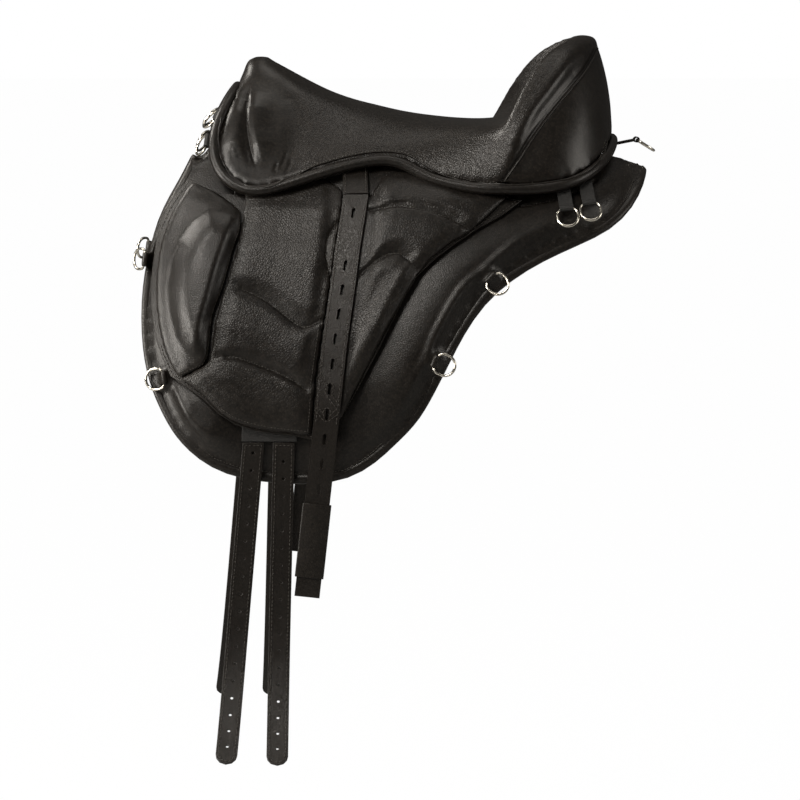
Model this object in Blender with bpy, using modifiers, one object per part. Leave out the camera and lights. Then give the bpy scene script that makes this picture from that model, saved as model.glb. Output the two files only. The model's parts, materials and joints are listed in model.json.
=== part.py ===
"""Endurance saddle. Metres, +Z up, pommel towards -X, the horse's left side towards -Y."""

import math

import bmesh
import bpy
from mathutils import Matrix, Vector
from mathutils.geometry import intersect_point_line

# Driving sizes, given in millimetres and used in metres
MM = 0.001
GAP = 0.3 * MM
LAYER_GAP = 1.2 * MM
SIDES = {"left": -1, "right": 1}

# Horse's back: half gullet, height of the section's middle, crest heights and bulges front to rear
GULLET = 32 * MM
BACK_MIDDLE = -300 * MM
CREST_FRONT = 88 * MM
CREST_WAIST = 46 * MM
CREST_REAR_DROP = 12 * MM
CREST_END_DROP = 10 * MM
BULGE_FRONT = 148 * MM
BULGE_REAR = 165 * MM
WITHERS_END = -183 * MM
WAIST = -8 * MM
SHOULDER_TUCK_START = -207 * MM

# Layers, as heights over the horse's back
PANEL_EDGE_HEIGHT = 8 * MM
PANEL_FLAT = 12 * MM
PANEL_RIDGE = 23 * MM
PANEL_RIDGE_INSET = 17 * MM
PANEL_RIDGE_WIDTH = 55 * MM
PANEL_THIN_FROM = 22 * MM
PANEL_THINNING = 1.6 * MM
BINDING_WIDTH = 12 * MM
PANEL_SEAM = 1.2 * MM
HANGER_LEATHER = 3 * MM
FLAP_LEATHER = 3 * MM
FLAP_EASE = 2 * MM
FLAP_RISE = PANEL_FLAT + HANGER_LEATHER + 2 * LAYER_GAP + FLAP_EASE
PAD_SEAT = FLAP_RISE + FLAP_LEATHER + LAYER_GAP
PAD_CROWN = 8.5 * MM
PAD_EDGE = 4 * MM
PAD_SEAM = 3 * MM
BLOCK_BORDER = 6 * MM
BLOCK_CROWN = 17 * MM
STRAP_LEATHER = 3.5 * MM
LEATHER_SEAT = PAD_SEAT + PAD_EDGE + LAYER_GAP + GAP

# Hinge line of the flaps, straight along X just under the skirt
FLAP_HINGE = Vector((0, 142, 10)) * MM
LEATHER_SLIT = 2.6 * MM
FLAP_SLIT = 0.3 * MM
HEAD_TOP = 34 * MM
HEAD_ENDS = (-198 * MM, 128 * MM)

# Seat shell
COVER_LEATHER = 4 * MM
FACING_LEATHER = 3 * MM
CORE_GAP = 0.8 * MM
FOAM_DEPTH = 8 * MM
TREE_DEPTH = 8 * MM
HEAD_PLATE_DEPTH = 2.5 * MM
ROLL_RADIUS = 6 * MM
ROLL_CLEARANCE = 0.8 * MM
CANTLE_THINNING = 0.45
SEAM_GAP = 0.6 * MM
SEAM_LEAN = 0.2
FACING_SWELL = 5 * MM
MERGE = 0.05 * MM

# Straps and rings
LEATHER_WIDTH = 29 * MM
LEATHER_END = -461 * MM
SLOT_LENGTH = 14 * MM
SLOT_WIDTH = 3.7 * MM
SLOT_PITCH = 29 * MM
SLOT_COUNT = 10
TOP_SLOT_DROP = 22 * MM
LOWEST_SLOT = 126 * MM
SLEEVE_LENGTH = 86 * MM
SLEEVE_WALL = 1.8 * MM
SLEEVE_TOP = -353 * MM
BILLET_WIDTH = 25 * MM
BILLET_LENGTH = 386 * MM
BILLET_HINGE = -283 * MM
BILLET_CURL = 45
BILLET_STRAIGHT = 190 * MM
HOLE_RADIUS = 1.95 * MM
HOLE_PITCH = {"front": 20.6 * MM, "rear": 20.1 * MM}
FIRST_HOLE = {"front": 12 * MM, "rear": 22 * MM}
HOLE_COUNT = 18
WIRE_RADIUS = 1.7 * MM
RING_HALF_WIDTH = 12.3 * MM
RING_DEPTH = 25 * MM
TAB_HALF_WIDTH = 8 * MM
TAB_THICKNESS = 3 * MM
BAR_CLEARANCE = 0.5 * MM
RING_RISE = 7 * MM
BAR_RADIUS = 4 * MM
BAR_LEG = 7 * MM

# Seat guides in millimetres at fifteen stations from the front centre to the rear centre
SPINE = [
    (-178, 0, 156), (-174, 0, 159), (-160, 0, 160), (-140, 0, 151), (-112, 0, 136), (-80, 0, 120),
    (-43, 0, 107), (0, 0, 94), (45, 0, 87), (85, 0, 84), (112, 0, 85), (136, 0, 90), (158, 0, 101),
    (178, 0, 116), (196, 0, 132),
]
DISH = [
    (-181, 0, 152), (-180, 12, 151), (-167, 22, 148), (-147, 27, 140), (-121, 31, 127),
    (-89, 34, 113), (-51, 37, 100), (-3, 42, 89), (44, 50, 83), (84, 62, 80), (112, 72, 81),
    (134, 74, 89), (154, 60, 111), (181, 38, 142), (208, 0, 162),
]
CREST = [
    (-184, 0, 146), (-182, 22, 140), (-174, 38, 129), (-155, 48, 119), (-132, 55, 109),
    (-100, 60, 99), (-60, 66, 88), (-8, 77, 79), (42, 94, 75), (80, 113, 72), (107, 129, 73),
    (121, 130, 87), (140, 105, 124), (173, 67, 167), (217, 0, 185),
]
SIDE = [
    (-187, 0, 139), (-188, 36, 127), (-191, 62, 107), (-193, 82, 84), (-182, 96, 63),
    (-147, 103, 51), (-88, 100, 58), (-21, 102, 63), (34, 118, 51), (85, 136, 41), (116, 146, 39),
    (134, 144, 64), (159, 119, 108), (198, 79, 157), (236, 0, 185),
]
ROLL = [
    (-192, 0, 125), (-203, 50, 110), (-219, 82, 77), (-222, 104, 44), (-206, 120, 16),
    (-169, 130, 3), (-102, 129, 24), (-18, 122, 42), (28, 134, 19), (80, 146, 8), (113, 149, 7),
    (158, 146, 7), (202, 134, 16), (239, 88, 40), (255, 0, 64),
]
SEAM = {10.5: (122, 147, 26), 11: (134, 142, 44), 12: (167, 119, 90), 13: (209, 78, 138), 14: (240, 0, 181)}
SEAM_START = 10

# Side-view outlines in millimetres (x, z), each at its piece's outer face
PANEL_EDGE = [
    (-248, 44), (-266, 8), (-286, -26), (-297, -60), (-305, -103), (-307, -152), (-302, -199),
    (-287, -242), (-262, -284), (-229, -313), (-195, -327), (-130, -333), (-81, -332), (-44, -314),
    (-17, -289), (14, -257), (43, -205), (68, -156), (97, -117), (140, -86), (187, -63), (228, -49),
    (259, -27), (281, 3), (292, 32),
]
PANEL_CORNERS = [(-270, -252), (4, -252)]
FLAP_RIM = [(-252, 19), (-274, -13), (-287, -42), (-295, -94), (-295, -133), (-288, -172), (-273, -208)]
FLAP_BOTTOM = [
    (-273, -208), (-238, -231), (-207, -258), (-170, -271), (-131, -275), (-101, -279), (-75, -251),
]
FLAP_REAR = [
    (-75, -251), (-57, -220), (-30, -171), (-8, -125), (5, -104), (17, -86), (48, -62), (81, -40),
    (119, -20), (137, -6),
]
FLAP_TOP = [(137, -0.4), (11, -0.4), (-87, -0.4), (-204, -0.4), (-226, 5), (-252, 19)]
PAD_SPLIT = [(-70, -3), (-76, -40), (-84, -90), (-94, -145), (-104, -205), (-109, -276)]
PAD_TOP = [(-189, -6), (-136, -3), (-71, -3)]
QUILT_A = [(-211, -102), (-162, -120), (-128, -146), (-114, -149), (-94, -139)]
QUILT_B = [(-226, -186), (-191, -186), (-144, -204), (-112, -222), (-109, -222)]
PAD_BOTTOM = [(-258, -211), (-236, -225), (-206, -254), (-170, -267), (-131, -272), (-111, -275)]
REAR_PAD_TOP = [(-77, -3), (12, -3), (120, -4)]
QUILT_C = [(-83, -30), (-42, -17), (-3, -12), (36, -19), (77, -40)]
QUILT_D = [(-89, -97), (-55, -93), (-29, -69), (-7, -66), (16, -86)]
REAR_PAD_BOTTOM = [(-108, -274), (-99, -273), (-76, -252)]
PAD_CLEARANCE = 1.5
BLOCK_CLEARANCE = 5
BLOCK_LEFT = [
    (-248, 16), (-267, -13), (-280, -43), (-288, -79), (-289, -125), (-284, -162), (-275, -189),
    (-263, -209),
]
BLOCK_RIGHT = [
    (-191, -17), (-192, -39), (-199, -57), (-212, -102), (-224, -133), (-228, -160), (-230, -181),
    (-235, -194),
]
LEATHER_LINE = [(-57, -6), (-68, -68), (-73, -107), (-81, -153), (-95, -271), (-116, -461)]
HANGER_TOP = [(-179, 17), (-100, 21)]
HANGER_BOTTOM = [(-191, -283), (-127, -283)]
BILLET_LINES = {"front": [(-177, -283), (-209, -649)], "rear": [(-142, -283), (-151, -649)]}
# Where each ring's bar lies: x, z and how far inside the panel's edge, then where its tab is sewn in
EDGE_RINGS = {
    "front_upper": (-300, -76, -2, 8), "front_lower": (-295, -217, 18, 5),
    "rear_upper": (108, -109, 17, 5), "rear_lower": (48, -195, 17, 5),
}
# The ring by the knee block has its bar past the edge and hangs this way, forwards and inwards
FREE_HANG = (-13, -20, -4)
CANTLE_RINGS = {"cantle_front": (188, -15), "cantle_rear": (215, -9)}
# Station of each pommel ring along the roll, and the way it hangs
POMMEL_RINGS = {"pommel_upper": (1.5, (-13, -15, -7)), "pommel_lower": (2.35, (-11, -16, -9))}
CRUPPER_TAIL = (247, 0, 53)
CRUPPER_BAR = (283, 0, 60)


def ease(t):
    """Smooth step from 0 to 1."""
    t = min(max(t, 0.0), 1.0)
    return t * t * (3 - 2 * t)


def catmull(points, t):
    """Point at parameter t of a smooth curve through the points, one unit for each of them."""
    last = len(points) - 1
    i = min(int(t), last - 1)
    f = t - i
    b, c = points[i], points[i + 1]
    a = points[i - 1] if i > 0 else b + (b - c)
    d = points[i + 2] if i + 2 <= last else c + (c - b)
    return 0.5 * (
        2 * b + (c - a) * f + (2 * a - 5 * b + 4 * c - d) * f * f + (3 * (b - c) + d - a) * f * f * f
    )


def guide(points, station):
    """Point on a seat guide, which crosses the middle plane squarely at both ends."""
    line = flat(points)
    before, after = [Vector((p.x, -p.y, p.z)) for p in (line[1], line[-2])]
    return catmull([before] + line + [after], station + 1)


def even(points, count, start=0.0, end=None):
    """Points at even distances on the smooth curve through the given ones."""
    end = len(points) - 1 if end is None else end
    steps = 12 * len(points)
    dense = [catmull(points, start + (end - start) * i / steps) for i in range(steps + 1)]
    run = [0.0]
    for a, b in zip(dense, dense[1:]):
        run.append(run[-1] + (b - a).length)
    found, j = [], 0
    for i in range(count):
        want = run[-1] * i / (count - 1)
        while j < steps - 1 and run[j + 1] < want:
            j += 1
        share = (want - run[j]) / max(run[j + 1] - run[j], 1e-9)
        found.append(dense[j].lerp(dense[j + 1], min(max(share, 0), 1)))
    return found


def flat(points):
    """An outline given in millimetres as vectors in metres."""
    return [Vector(p) * MM for p in points]


def away(point, line):
    """Distance from a point to a chain of straight stretches."""
    best = 1e9
    for a, b in zip(line, line[1:]):
        near, share = intersect_point_line(point, a, b)
        near = a if share < 0 else b if share > 1 else near
        best = min(best, (Vector(near[: len(point)]) - point).length)
    return best


def inside(point, outline):
    """Whether a flat point lies in a closed outline."""
    found = False
    for a, b in zip(outline, outline[1:] + outline[:1]):
        if (a.y > point.y) != (b.y > point.y):
            if point.x < a.x + (b.x - a.x) * (point.y - a.y) / (b.y - a.y):
                found = not found
    return found


def inset(line, distance):
    """A flat chain moved to its left-hand side by a distance."""
    moved = []
    for i, p in enumerate(line):
        along = (line[min(i + 1, len(line) - 1)] - line[max(i - 1, 0)]).normalized()
        moved.append(p + Vector((-along.y, along.x)) * distance)
    return moved


# The horse's back

def section(x):
    """Height, bulge and roundness of the back's cross-section at x."""
    back = ease((x - WITHERS_END) / (WAIST - WITHERS_END))
    crest = CREST_FRONT + (CREST_WAIST - CREST_FRONT) * back
    crest -= CREST_REAR_DROP * ease((x - 0.012) / 0.11) + CREST_END_DROP * ease((x - 0.17) / 0.08)
    tuck = max(0.0, (SHOULDER_TUCK_START - x) / 0.1)
    bulge = (BULGE_FRONT + (BULGE_REAR - BULGE_FRONT) * back) * (1 - 0.3 * tuck * tuck)
    return crest - BACK_MIDDLE, bulge, 2 - back


def drape(x, angle, rise, side=1):
    """Point over the back at x, at an angle down from its crest and a height over it."""
    height, bulge, power = section(x)
    s, c = math.sin(angle), math.cos(angle)
    out = Vector((height * s, bulge * power * s ** (power - 1) * c)).normalized()
    y = GULLET + bulge * s ** power + rise * out.x
    return Vector((x, side * y, BACK_MIDDLE + height * c + rise * out.y))


def angle_at(x, z, rise):
    """Angle at which the surface at this height over the back passes z."""
    low, high = 0.001, math.radians(150)
    for _ in range(32):
        middle = (low + high) / 2
        if drape(x, middle, rise).z > z:
            low = middle
        else:
            high = middle
    return middle


def on_side(x, z, rise, side=1):
    """Point at x and z on the surface at a height over the back."""
    return drape(x, angle_at(x, z, rise), rise, side)


def out_of_side(x, z, rise, side=1):
    """Unit vector square to the surface at x and z."""
    step = 2 * MM
    along = on_side(x + step, z, rise, side) - on_side(x - step, z, rise, side)
    down = on_side(x, z - step, rise, side) - on_side(x, z + step, rise, side)
    out = along.cross(down).normalized()
    return out if out.y * side > 0 else -out


# Objects

def material(name, colour, roughness, metallic=0.0):
    made = bpy.data.materials.get(name)
    if made is None:
        made = bpy.data.materials.new(name)
        made.use_nodes = True
        surface = made.node_tree.nodes["Principled BSDF"]
        surface.inputs["Base Color"].default_value = (*colour, 1)
        surface.inputs["Roughness"].default_value = roughness
        surface.inputs["Metallic"].default_value = metallic
        made.diffuse_color = (*colour, 1)
    return made


MATERIALS = {
    "grain": ((0.022, 0.019, 0.016), 0.55, 0.0),
    "smooth": ((0.026, 0.022, 0.019), 0.42, 0.0),
    "strap": ((0.030, 0.024, 0.020), 0.5, 0.0),
    "webbing": ((0.012, 0.012, 0.012), 0.85, 0.0),
    "foam": ((0.35, 0.30, 0.18), 0.9, 0.0),
    "tree": ((0.10, 0.09, 0.08), 0.6, 0.0),
    "steel": ((0.45, 0.45, 0.44), 0.35, 1.0),
    "nickel": ((0.72, 0.69, 0.62), 0.25, 1.0),
}


def finish(obj, finish_name, smooth_angle=40):
    """Gives an object its material and shading."""
    obj.data.materials.clear()
    obj.data.materials.append(material(finish_name, *MATERIALS[finish_name]))
    obj.data.shade_smooth()
    obj.data.set_sharp_from_angle(angle=math.radians(smooth_angle))
    return obj


def add(name, data):
    obj = bpy.data.objects.new(name, data)
    bpy.data.collections["endurance_saddle"].objects.link(obj)
    return obj


def face_out(work):
    """Turns the faces of a closed mesh outwards."""
    bmesh.ops.recalc_face_normals(work, faces=work.faces)
    if work.calc_volume(signed=True) < 0:
        bmesh.ops.reverse_faces(work, faces=work.faces)


def mesh_object(name, verts, faces, finish_name, hinge=None):
    """An object from a closed loft, its origin at the hinge where it has one."""
    mesh = bpy.data.meshes.new(name)
    origin = Vector(hinge) if hinge else Vector()
    mesh.from_pydata([v - origin for v in verts], [], faces)
    work = bmesh.new()
    work.from_mesh(mesh)
    bmesh.ops.remove_doubles(work, verts=work.verts, dist=1e-6)
    face_out(work)
    work.to_mesh(mesh)
    work.free()
    obj = add(name, mesh)
    obj.location = origin
    return finish(obj, finish_name)


def curve_mesh(name, curve):
    """The mesh of a curve with its caps welded, the curve removed."""
    obj = bpy.data.objects.new(name + "_curve", curve)
    bpy.context.scene.collection.objects.link(obj)
    view = bpy.context.evaluated_depsgraph_get()
    mesh = bpy.data.meshes.new_from_object(obj.evaluated_get(view))
    bpy.data.objects.remove(obj)
    work = bmesh.new()
    work.from_mesh(mesh)
    bmesh.ops.remove_doubles(work, verts=work.verts, dist=1e-6)
    work.to_mesh(mesh)
    work.free()
    return mesh


def plate(outlines, thickness):
    """Mesh of a flat piece: the first outline is its edge, the others are its holes."""
    curve = bpy.data.curves.new("outline", "CURVE")
    curve.dimensions = "2D"
    curve.fill_mode = "BOTH"
    curve.extrude = thickness / 2
    for outline in outlines:
        spline = curve.splines.new("POLY")
        spline.points.add(len(outline) - 1)
        for point, (x, y) in zip(spline.points, outline):
            point.co = (x, y, 0, 1)
        spline.use_cyclic_u = True
    return curve_mesh("plate", curve)


def circle(x, y, radius, sides, turn=0.0):
    return [
        (x + radius * math.cos(turn + math.tau * i / sides), y + radius * math.sin(turn + math.tau * i / sides))
        for i in range(sides)
    ]


# Draped sheets, lofted over the back

def unrolled(outline, rise):
    """Side-view outline as (x, angle) pairs at a height over the back."""
    return [Vector((p.x, angle_at(p.x, p.y, rise))) for p in outline]


def coons(top, bottom, left, right, across, down):
    """Grid between four curves; across and down are the shares of its columns and rows."""
    def at(curve, share):
        spot = share * (len(curve) - 1)
        i = min(int(spot), len(curve) - 2)
        return curve[i].lerp(curve[i + 1], spot - i)

    grid = []
    for v in down:
        row = []
        for u in across:
            ruled = at(top, u).lerp(at(bottom, u), v) + at(left, v).lerp(at(right, v), u)
            corners = top[0].lerp(top[-1], u).lerp(bottom[0].lerp(bottom[-1], u), v)
            row.append(ruled - corners)
        grid.append(row)
    return grid


def loft(lines, columns, shares):
    """Grid through lines that run across, with rows at the given shares between each pair."""
    spread = [even(line, columns) for line in lines]
    grid = [spread[0]]
    for i in range(len(lines) - 1):
        for share in shares[1:]:
            grid.append([catmull([s[c] for s in spread], i + share) for c in range(columns)])
    return grid


def sheet(name, grid, inner, outer, side, finish_name, hinge=None):
    """Closed sheet on a grid of (x, angle) pairs between an inner and an outer height."""
    rows, columns = len(grid), len(grid[0])
    verts = []
    for heights in (outer, inner):
        for r in range(rows):
            for c in range(columns):
                spot = grid[r][c]
                rise = heights[r][c] if isinstance(heights, list) else heights
                verts.append(drape(spot.x, spot.y, rise, side))
    return mesh_object(name, verts, shell_faces(rows, columns), finish_name, hinge)


def shell_faces(rows, columns, open_start=False, open_end=False, open_first=False):
    """Faces of two grids, one over the other, with walls between them where they aren't open."""
    count = rows * columns
    faces = []
    for base in (0, count):
        for r in range(rows - 1):
            for c in range(columns - 1):
                a = base + r * columns + c
                quad = [a, a + 1, a + columns + 1, a + columns]
                faces.append(quad if base else quad[::-1])
    ring = []
    if not open_start:
        ring.append([(0, c) for c in range(columns)])
    if not open_end:
        ring.append([(rows - 1, c) for c in range(columns)])
    if not open_first:
        ring.append([(r, 0) for r in range(rows)])
    ring.append([(r, columns - 1) for r in range(rows)])
    for chain in ring:
        for (r, c), (s, d) in zip(chain, chain[1:]):
            a, b = r * columns + c, s * columns + d
            faces.append([a, b, b + count, a + count])
    return faces


# Seat: guides, shells peeled from one surface

ROWS = [s / 2 for s in range(2 * SEAM_START + 1)] + [10.2] + [s / 2 for s in range(21, 29)]
RING_SHARES = [0, 0.5, 1, 1.5, 2, 2.5, 3, 3.5, 4]
CREST_COLUMN = RING_SHARES.index(2)


def roll_at(station):
    """Centre line of the skirt roll."""
    return guide(ROLL, station)


def edge_at(station):
    """Edge of the seat leather: along the roll, then along the seam of the cantle."""
    if station <= SEAM_START:
        return beside_roll(station, guide(SIDE, station))
    spots = [SEAM_START] + sorted(SEAM)
    points = [edge_at(SEAM_START)] + [Vector(SEAM[s]) * MM for s in sorted(SEAM)]
    i = max(j for j, s in enumerate(spots[:-1]) if s <= station)
    return catmull(points, i + (station - spots[i]) / (spots[i + 1] - spots[i]))


def roll_way(station):
    """Direction of the roll, square to the middle plane at both ends."""
    ahead = roll_at(min(station + 0.1, len(ROLL) - 1)) - roll_at(max(station - 0.1, 0))
    if station in (0, len(ROLL) - 1):
        ahead = Vector((0, 1 if station == 0 else -1, 0))
    return ahead.normalized()


def beside_roll(station, towards):
    """Point next to the roll, on its side that faces another point."""
    centre, ahead = roll_at(station), roll_way(station)
    reach = towards - centre
    reach -= ahead * reach.dot(ahead)
    return centre + reach.normalized() * (ROLL_RADIUS + ROLL_CLEARANCE)


def seat_grid():
    """Points of the seat's outer surface on one side, rows from front to rear."""
    grid = []
    for station in ROWS:
        ribs = [guide(g, station) for g in (SPINE, DISH, CREST, SIDE)] + [edge_at(station)]
        row = [catmull(ribs, share) for share in RING_SHARES]
        if station in (ROWS[0], ROWS[-1]):
            row = [Vector((p.x, 0, p.z)) for p in row]
        row[0].y = 0
        grid.append(row)
    return grid


def normals_of(grid, plane_rows=True):
    """Outward unit vectors of a grid, kept in the middle plane where the grid meets it."""
    rows, columns = len(grid), len(grid[0])
    found = []
    for r in range(rows):
        line = []
        for c in range(columns):
            along = grid[min(r + 1, rows - 1)][c] - grid[max(r - 1, 0)][c]
            across = grid[r][min(c + 1, columns - 1)] - grid[r][max(c - 1, 0)]
            if c == 0 and plane_rows:
                across = Vector((0, 1, 0))
            if plane_rows and r in (0, rows - 1):
                along = Vector((0, 1 if r == 0 else -1, 0))
            out = along.cross(across)
            if plane_rows and (c == 0 or r in (0, rows - 1)):
                out.y = 0
            line.append(out.normalized())
        found.append(line)
    return found


def peeled(grid, normals, depth):
    return [[p - n * depth for p, n in zip(row, line)] for row, line in zip(grid, normals)]


def half_shell(name, outer, inner, finish_name, open_start, open_end):
    """One side of a shell, open at the middle plane, mirrored to the other."""
    rows, columns = len(outer), len(outer[0])
    verts = [p for grid in (outer, inner) for row in grid for p in row]
    faces = shell_faces(rows, columns, open_start, open_end, True)
    obj = mesh_object(name, verts, faces, finish_name)
    work = bmesh.new()
    work.from_mesh(obj.data)
    bmesh.ops.dissolve_degenerate(work, dist=1e-6, edges=work.edges)
    work.to_mesh(obj.data)
    work.free()
    mirror = obj.modifiers.new("other_side", "MIRROR")
    mirror.use_axis = (False, True, False)
    mirror.merge_threshold = MERGE
    return obj


def build_seat():
    grid = seat_grid()
    normals = normals_of(grid)
    # Along the roll the leather's edge faces it squarely
    for r, station in enumerate(ROWS):
        if station <= SEAM_START:
            edge, n = grid[r][-1], normals[r][-1]
            reach = (edge - roll_at(station)).normalized()
            normals[r][-1] = (n - reach * n.dot(reach)).normalized()
    half_shell("seat_cover", grid, peeled(grid, normals, COVER_LEATHER), "grain", True, True)
    thin = [1 - CANTLE_THINNING * ease((station - 9.5) / 3) for station in ROWS]
    foam_top = COVER_LEATHER + CORE_GAP
    tree_top = foam_top + FOAM_DEPTH + CORE_GAP
    plate_top = tree_top + TREE_DEPTH + CORE_GAP
    cores = {
        "seat_foam": (foam_top, FOAM_DEPTH, 3, len(ROWS), CREST_COLUMN, "foam"),
        "tree": (tree_top, TREE_DEPTH, 5, len(ROWS), CREST_COLUMN - 1, "tree"),
        "head_plate": (plate_top, HEAD_PLATE_DEPTH, 6, 11, CREST_COLUMN - 1, "steel"),
    }
    for name, (top, depth, first, last, edge, look) in cores.items():
        part = [row[: edge + 1] for row in grid[first:last]]
        lines = [line[: edge + 1] for line in normals[first:last]]
        shares = thin[first:last]
        outer, inner = [], []
        for row, line, share in zip(part, lines, shares):
            start = foam_top + (top - foam_top) * share
            outer.append([p - n * start for p, n in zip(row, line)])
            inner.append([p - n * (start + depth * share) for p, n in zip(row, line)])
        half_shell(name, outer, inner, look, False, last == len(ROWS))
    build_facing(grid, normals)
    build_roll()


def build_facing(grid, normals):
    """Back of the cantle, between the seam and the roll."""
    first = ROWS.index(SEAM_START + 0.2)
    outer = []
    for r in range(first, len(ROWS)):
        top = grid[r][-1]
        foot = beside_roll(ROWS[r], top)
        start = top + (foot - top).normalized() * SEAM_GAP
        swell = normals[r][-1] * FACING_SWELL * ease((ROWS[r] - SEAM_START) / 2)
        outer.append([start.lerp(foot, s) + swell * 4 * s * (1 - s) for s in (0, 0.25, 0.5, 0.75, 1)])
    out = normals_of(outer, False)
    for row, line, seat in zip(outer, out, normals[first:]):
        across = (row[0] - row[1]).normalized()
        line[0] = (seat[-1] + across * SEAM_LEAN).normalized()
    inner = peeled(outer, out, FACING_LEATHER)
    # The last row lies in the middle plane and stays open there
    for p in outer[-1] + inner[-1]:
        p.y = 0
    verts = [p for part in (outer, inner) for row in part for p in row]
    obj = mesh_object("cantle_facing", verts, shell_faces(len(outer), len(outer[0]), False, True), "smooth")
    mirror = obj.modifiers.new("other_side", "MIRROR")
    mirror.use_axis = (False, True, False)
    mirror.merge_threshold = MERGE


def build_roll():
    """Rolled welt, one closed tube around the whole seat."""
    half = [roll_at(station) for station in ROWS]
    loop = half + [Vector((p.x, -p.y, p.z)) for p in half[-2:0:-1]]
    finish(tube("skirt_roll", loop, ROLL_RADIUS, True, 2), "smooth")


def tube(name, points, radius, cyclic, resolution):
    curve = bpy.data.curves.new(name, "CURVE")
    curve.dimensions = "3D"
    curve.bevel_depth = radius
    curve.bevel_resolution = resolution
    curve.use_fill_caps = not cyclic
    spline = curve.splines.new("POLY")
    spline.points.add(len(points) - 1)
    for spot, p in zip(spline.points, points):
        spot.co = (*p, 1)
    spline.use_cyclic_u = cyclic
    return add(name, curve_mesh(name, curve))


# Panels

def covered():
    """Outline of what lies over the panel: the flap and the skirt above it."""
    outline = even(flat(FLAP_RIM), 12) + even(flat(FLAP_BOTTOM), 12) + even(flat(FLAP_REAR), 16)
    return outline + flat([(150, 60), (-245, 60)])


def panel_rise(spot, edge, cover):
    """Height of the padded panel over the back at a point of its side view."""
    inwards = away(spot, edge)
    rim = math.sin(min(inwards / PANEL_RIDGE_INSET, 1) * math.pi / 2)
    high = ease((spot.y - PANEL_THIN_FROM) / (20 * MM))
    clear = 0.0 if inside(spot, cover) else away(spot, cover)
    bottom = ease((-spot.y - 0.235) / 0.03) * (1 - ease((abs(spot.x + 0.12) - 0.075) / 0.03))
    ridge = ease(clear / 0.016) * (1 - bottom)
    fall = ease((inwards - PANEL_RIDGE_INSET) / PANEL_RIDGE_WIDTH)
    top = PANEL_FLAT + (PANEL_RIDGE - PANEL_FLAT) * ridge * (1 - 0.5 * fall) - PANEL_THINNING * high
    return PANEL_EDGE_HEIGHT + (top - PANEL_EDGE_HEIGHT) * rim


def build_panel(word, side):
    """Stuffed panel; gives the chain of its bound edge as (x, angle) pairs."""
    line = inset(even(flat(PANEL_EDGE), 121), BINDING_WIDTH + PANEL_SEAM)
    first, second = [min(range(121), key=lambda i: (line[i] - p).length) for p in flat(PANEL_CORNERS)]
    edge_rise = PANEL_EDGE_HEIGHT
    left = unrolled(even(line[: first + 1], 30), edge_rise)
    bottom = unrolled(even(line[first : second + 1], 30), edge_rise)
    right = unrolled(even(line[second:], 30)[::-1], edge_rise)
    start, end = left[0], right[0]
    top = []
    for i in range(30):
        share = i / 29
        x = start.x + (end.x - start.x) * share
        keep = abs(2 * share - 1) ** 10
        _, bulge, power = section(x)
        crest = math.asin((6 * MM / bulge) ** (1 / power))
        top.append(Vector((x, crest + ((start.y if share < 0.5 else end.y) - crest) * keep)))
    across = [0, 0.03, 0.07, 0.13, 0.22, 0.33, 0.45, 0.57, 0.69, 0.79, 0.88, 0.94, 1]
    down = [0, 0.05, 0.12, 0.2, 0.3, 0.41, 0.52, 0.63, 0.74, 0.83, 0.9, 0.95, 1]
    grid = coons(top, bottom, left, right, across, down)
    cover = covered()
    heights = []
    for row in grid:
        heights.append([])
        for spot in row:
            p = drape(spot.x, spot.y, edge_rise)
            heights[-1].append(panel_rise(Vector((p.x, p.z)), line, cover))
    sheet(f"base_panel_{word}", grid, 0.0, heights, side, "smooth")
    return [row[0] for row in grid] + grid[-1][1:-1] + [row[-1] for row in grid[::-1]]


def build_binding(word, side, chain):
    """Bound edge of the panel, a flat band with round sides along the panel's own wall."""
    half, thick = BINDING_WIDTH / 2, PANEL_EDGE_HEIGHT / 2
    shape = [(-1, 0.35), (-0.7, 1), (1, 1), (1, -1), (-0.7, -1), (-1, -0.35)]
    middle = [drape(p.x, p.y, thick, side) for p in chain]
    verts = []
    for i, p in enumerate(chain):
        along = (middle[min(i + 1, len(chain) - 1)] - middle[max(i - 1, 0)]).normalized()
        out = (drape(p.x, p.y, 2 * thick, side) - drape(p.x, p.y, 0, side)).normalized()
        outwards = out.cross(along).normalized() * side
        for a, b in shape:
            verts.append(middle[i] + outwards * (PANEL_SEAM + half - half * a) + out * b * thick)
    count = len(shape)
    faces = [list(range(count)), [len(verts) - count + i for i in range(count)][::-1]]
    for i in range(len(chain) - 1):
        for j in range(count):
            a, b = i * count + j, i * count + (j + 1) % count
            faces.append([a, b, b + count, a + count])
    return mesh_object(f"panel_binding_{word}", verts, faces, "smooth")


# Flaps

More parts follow.
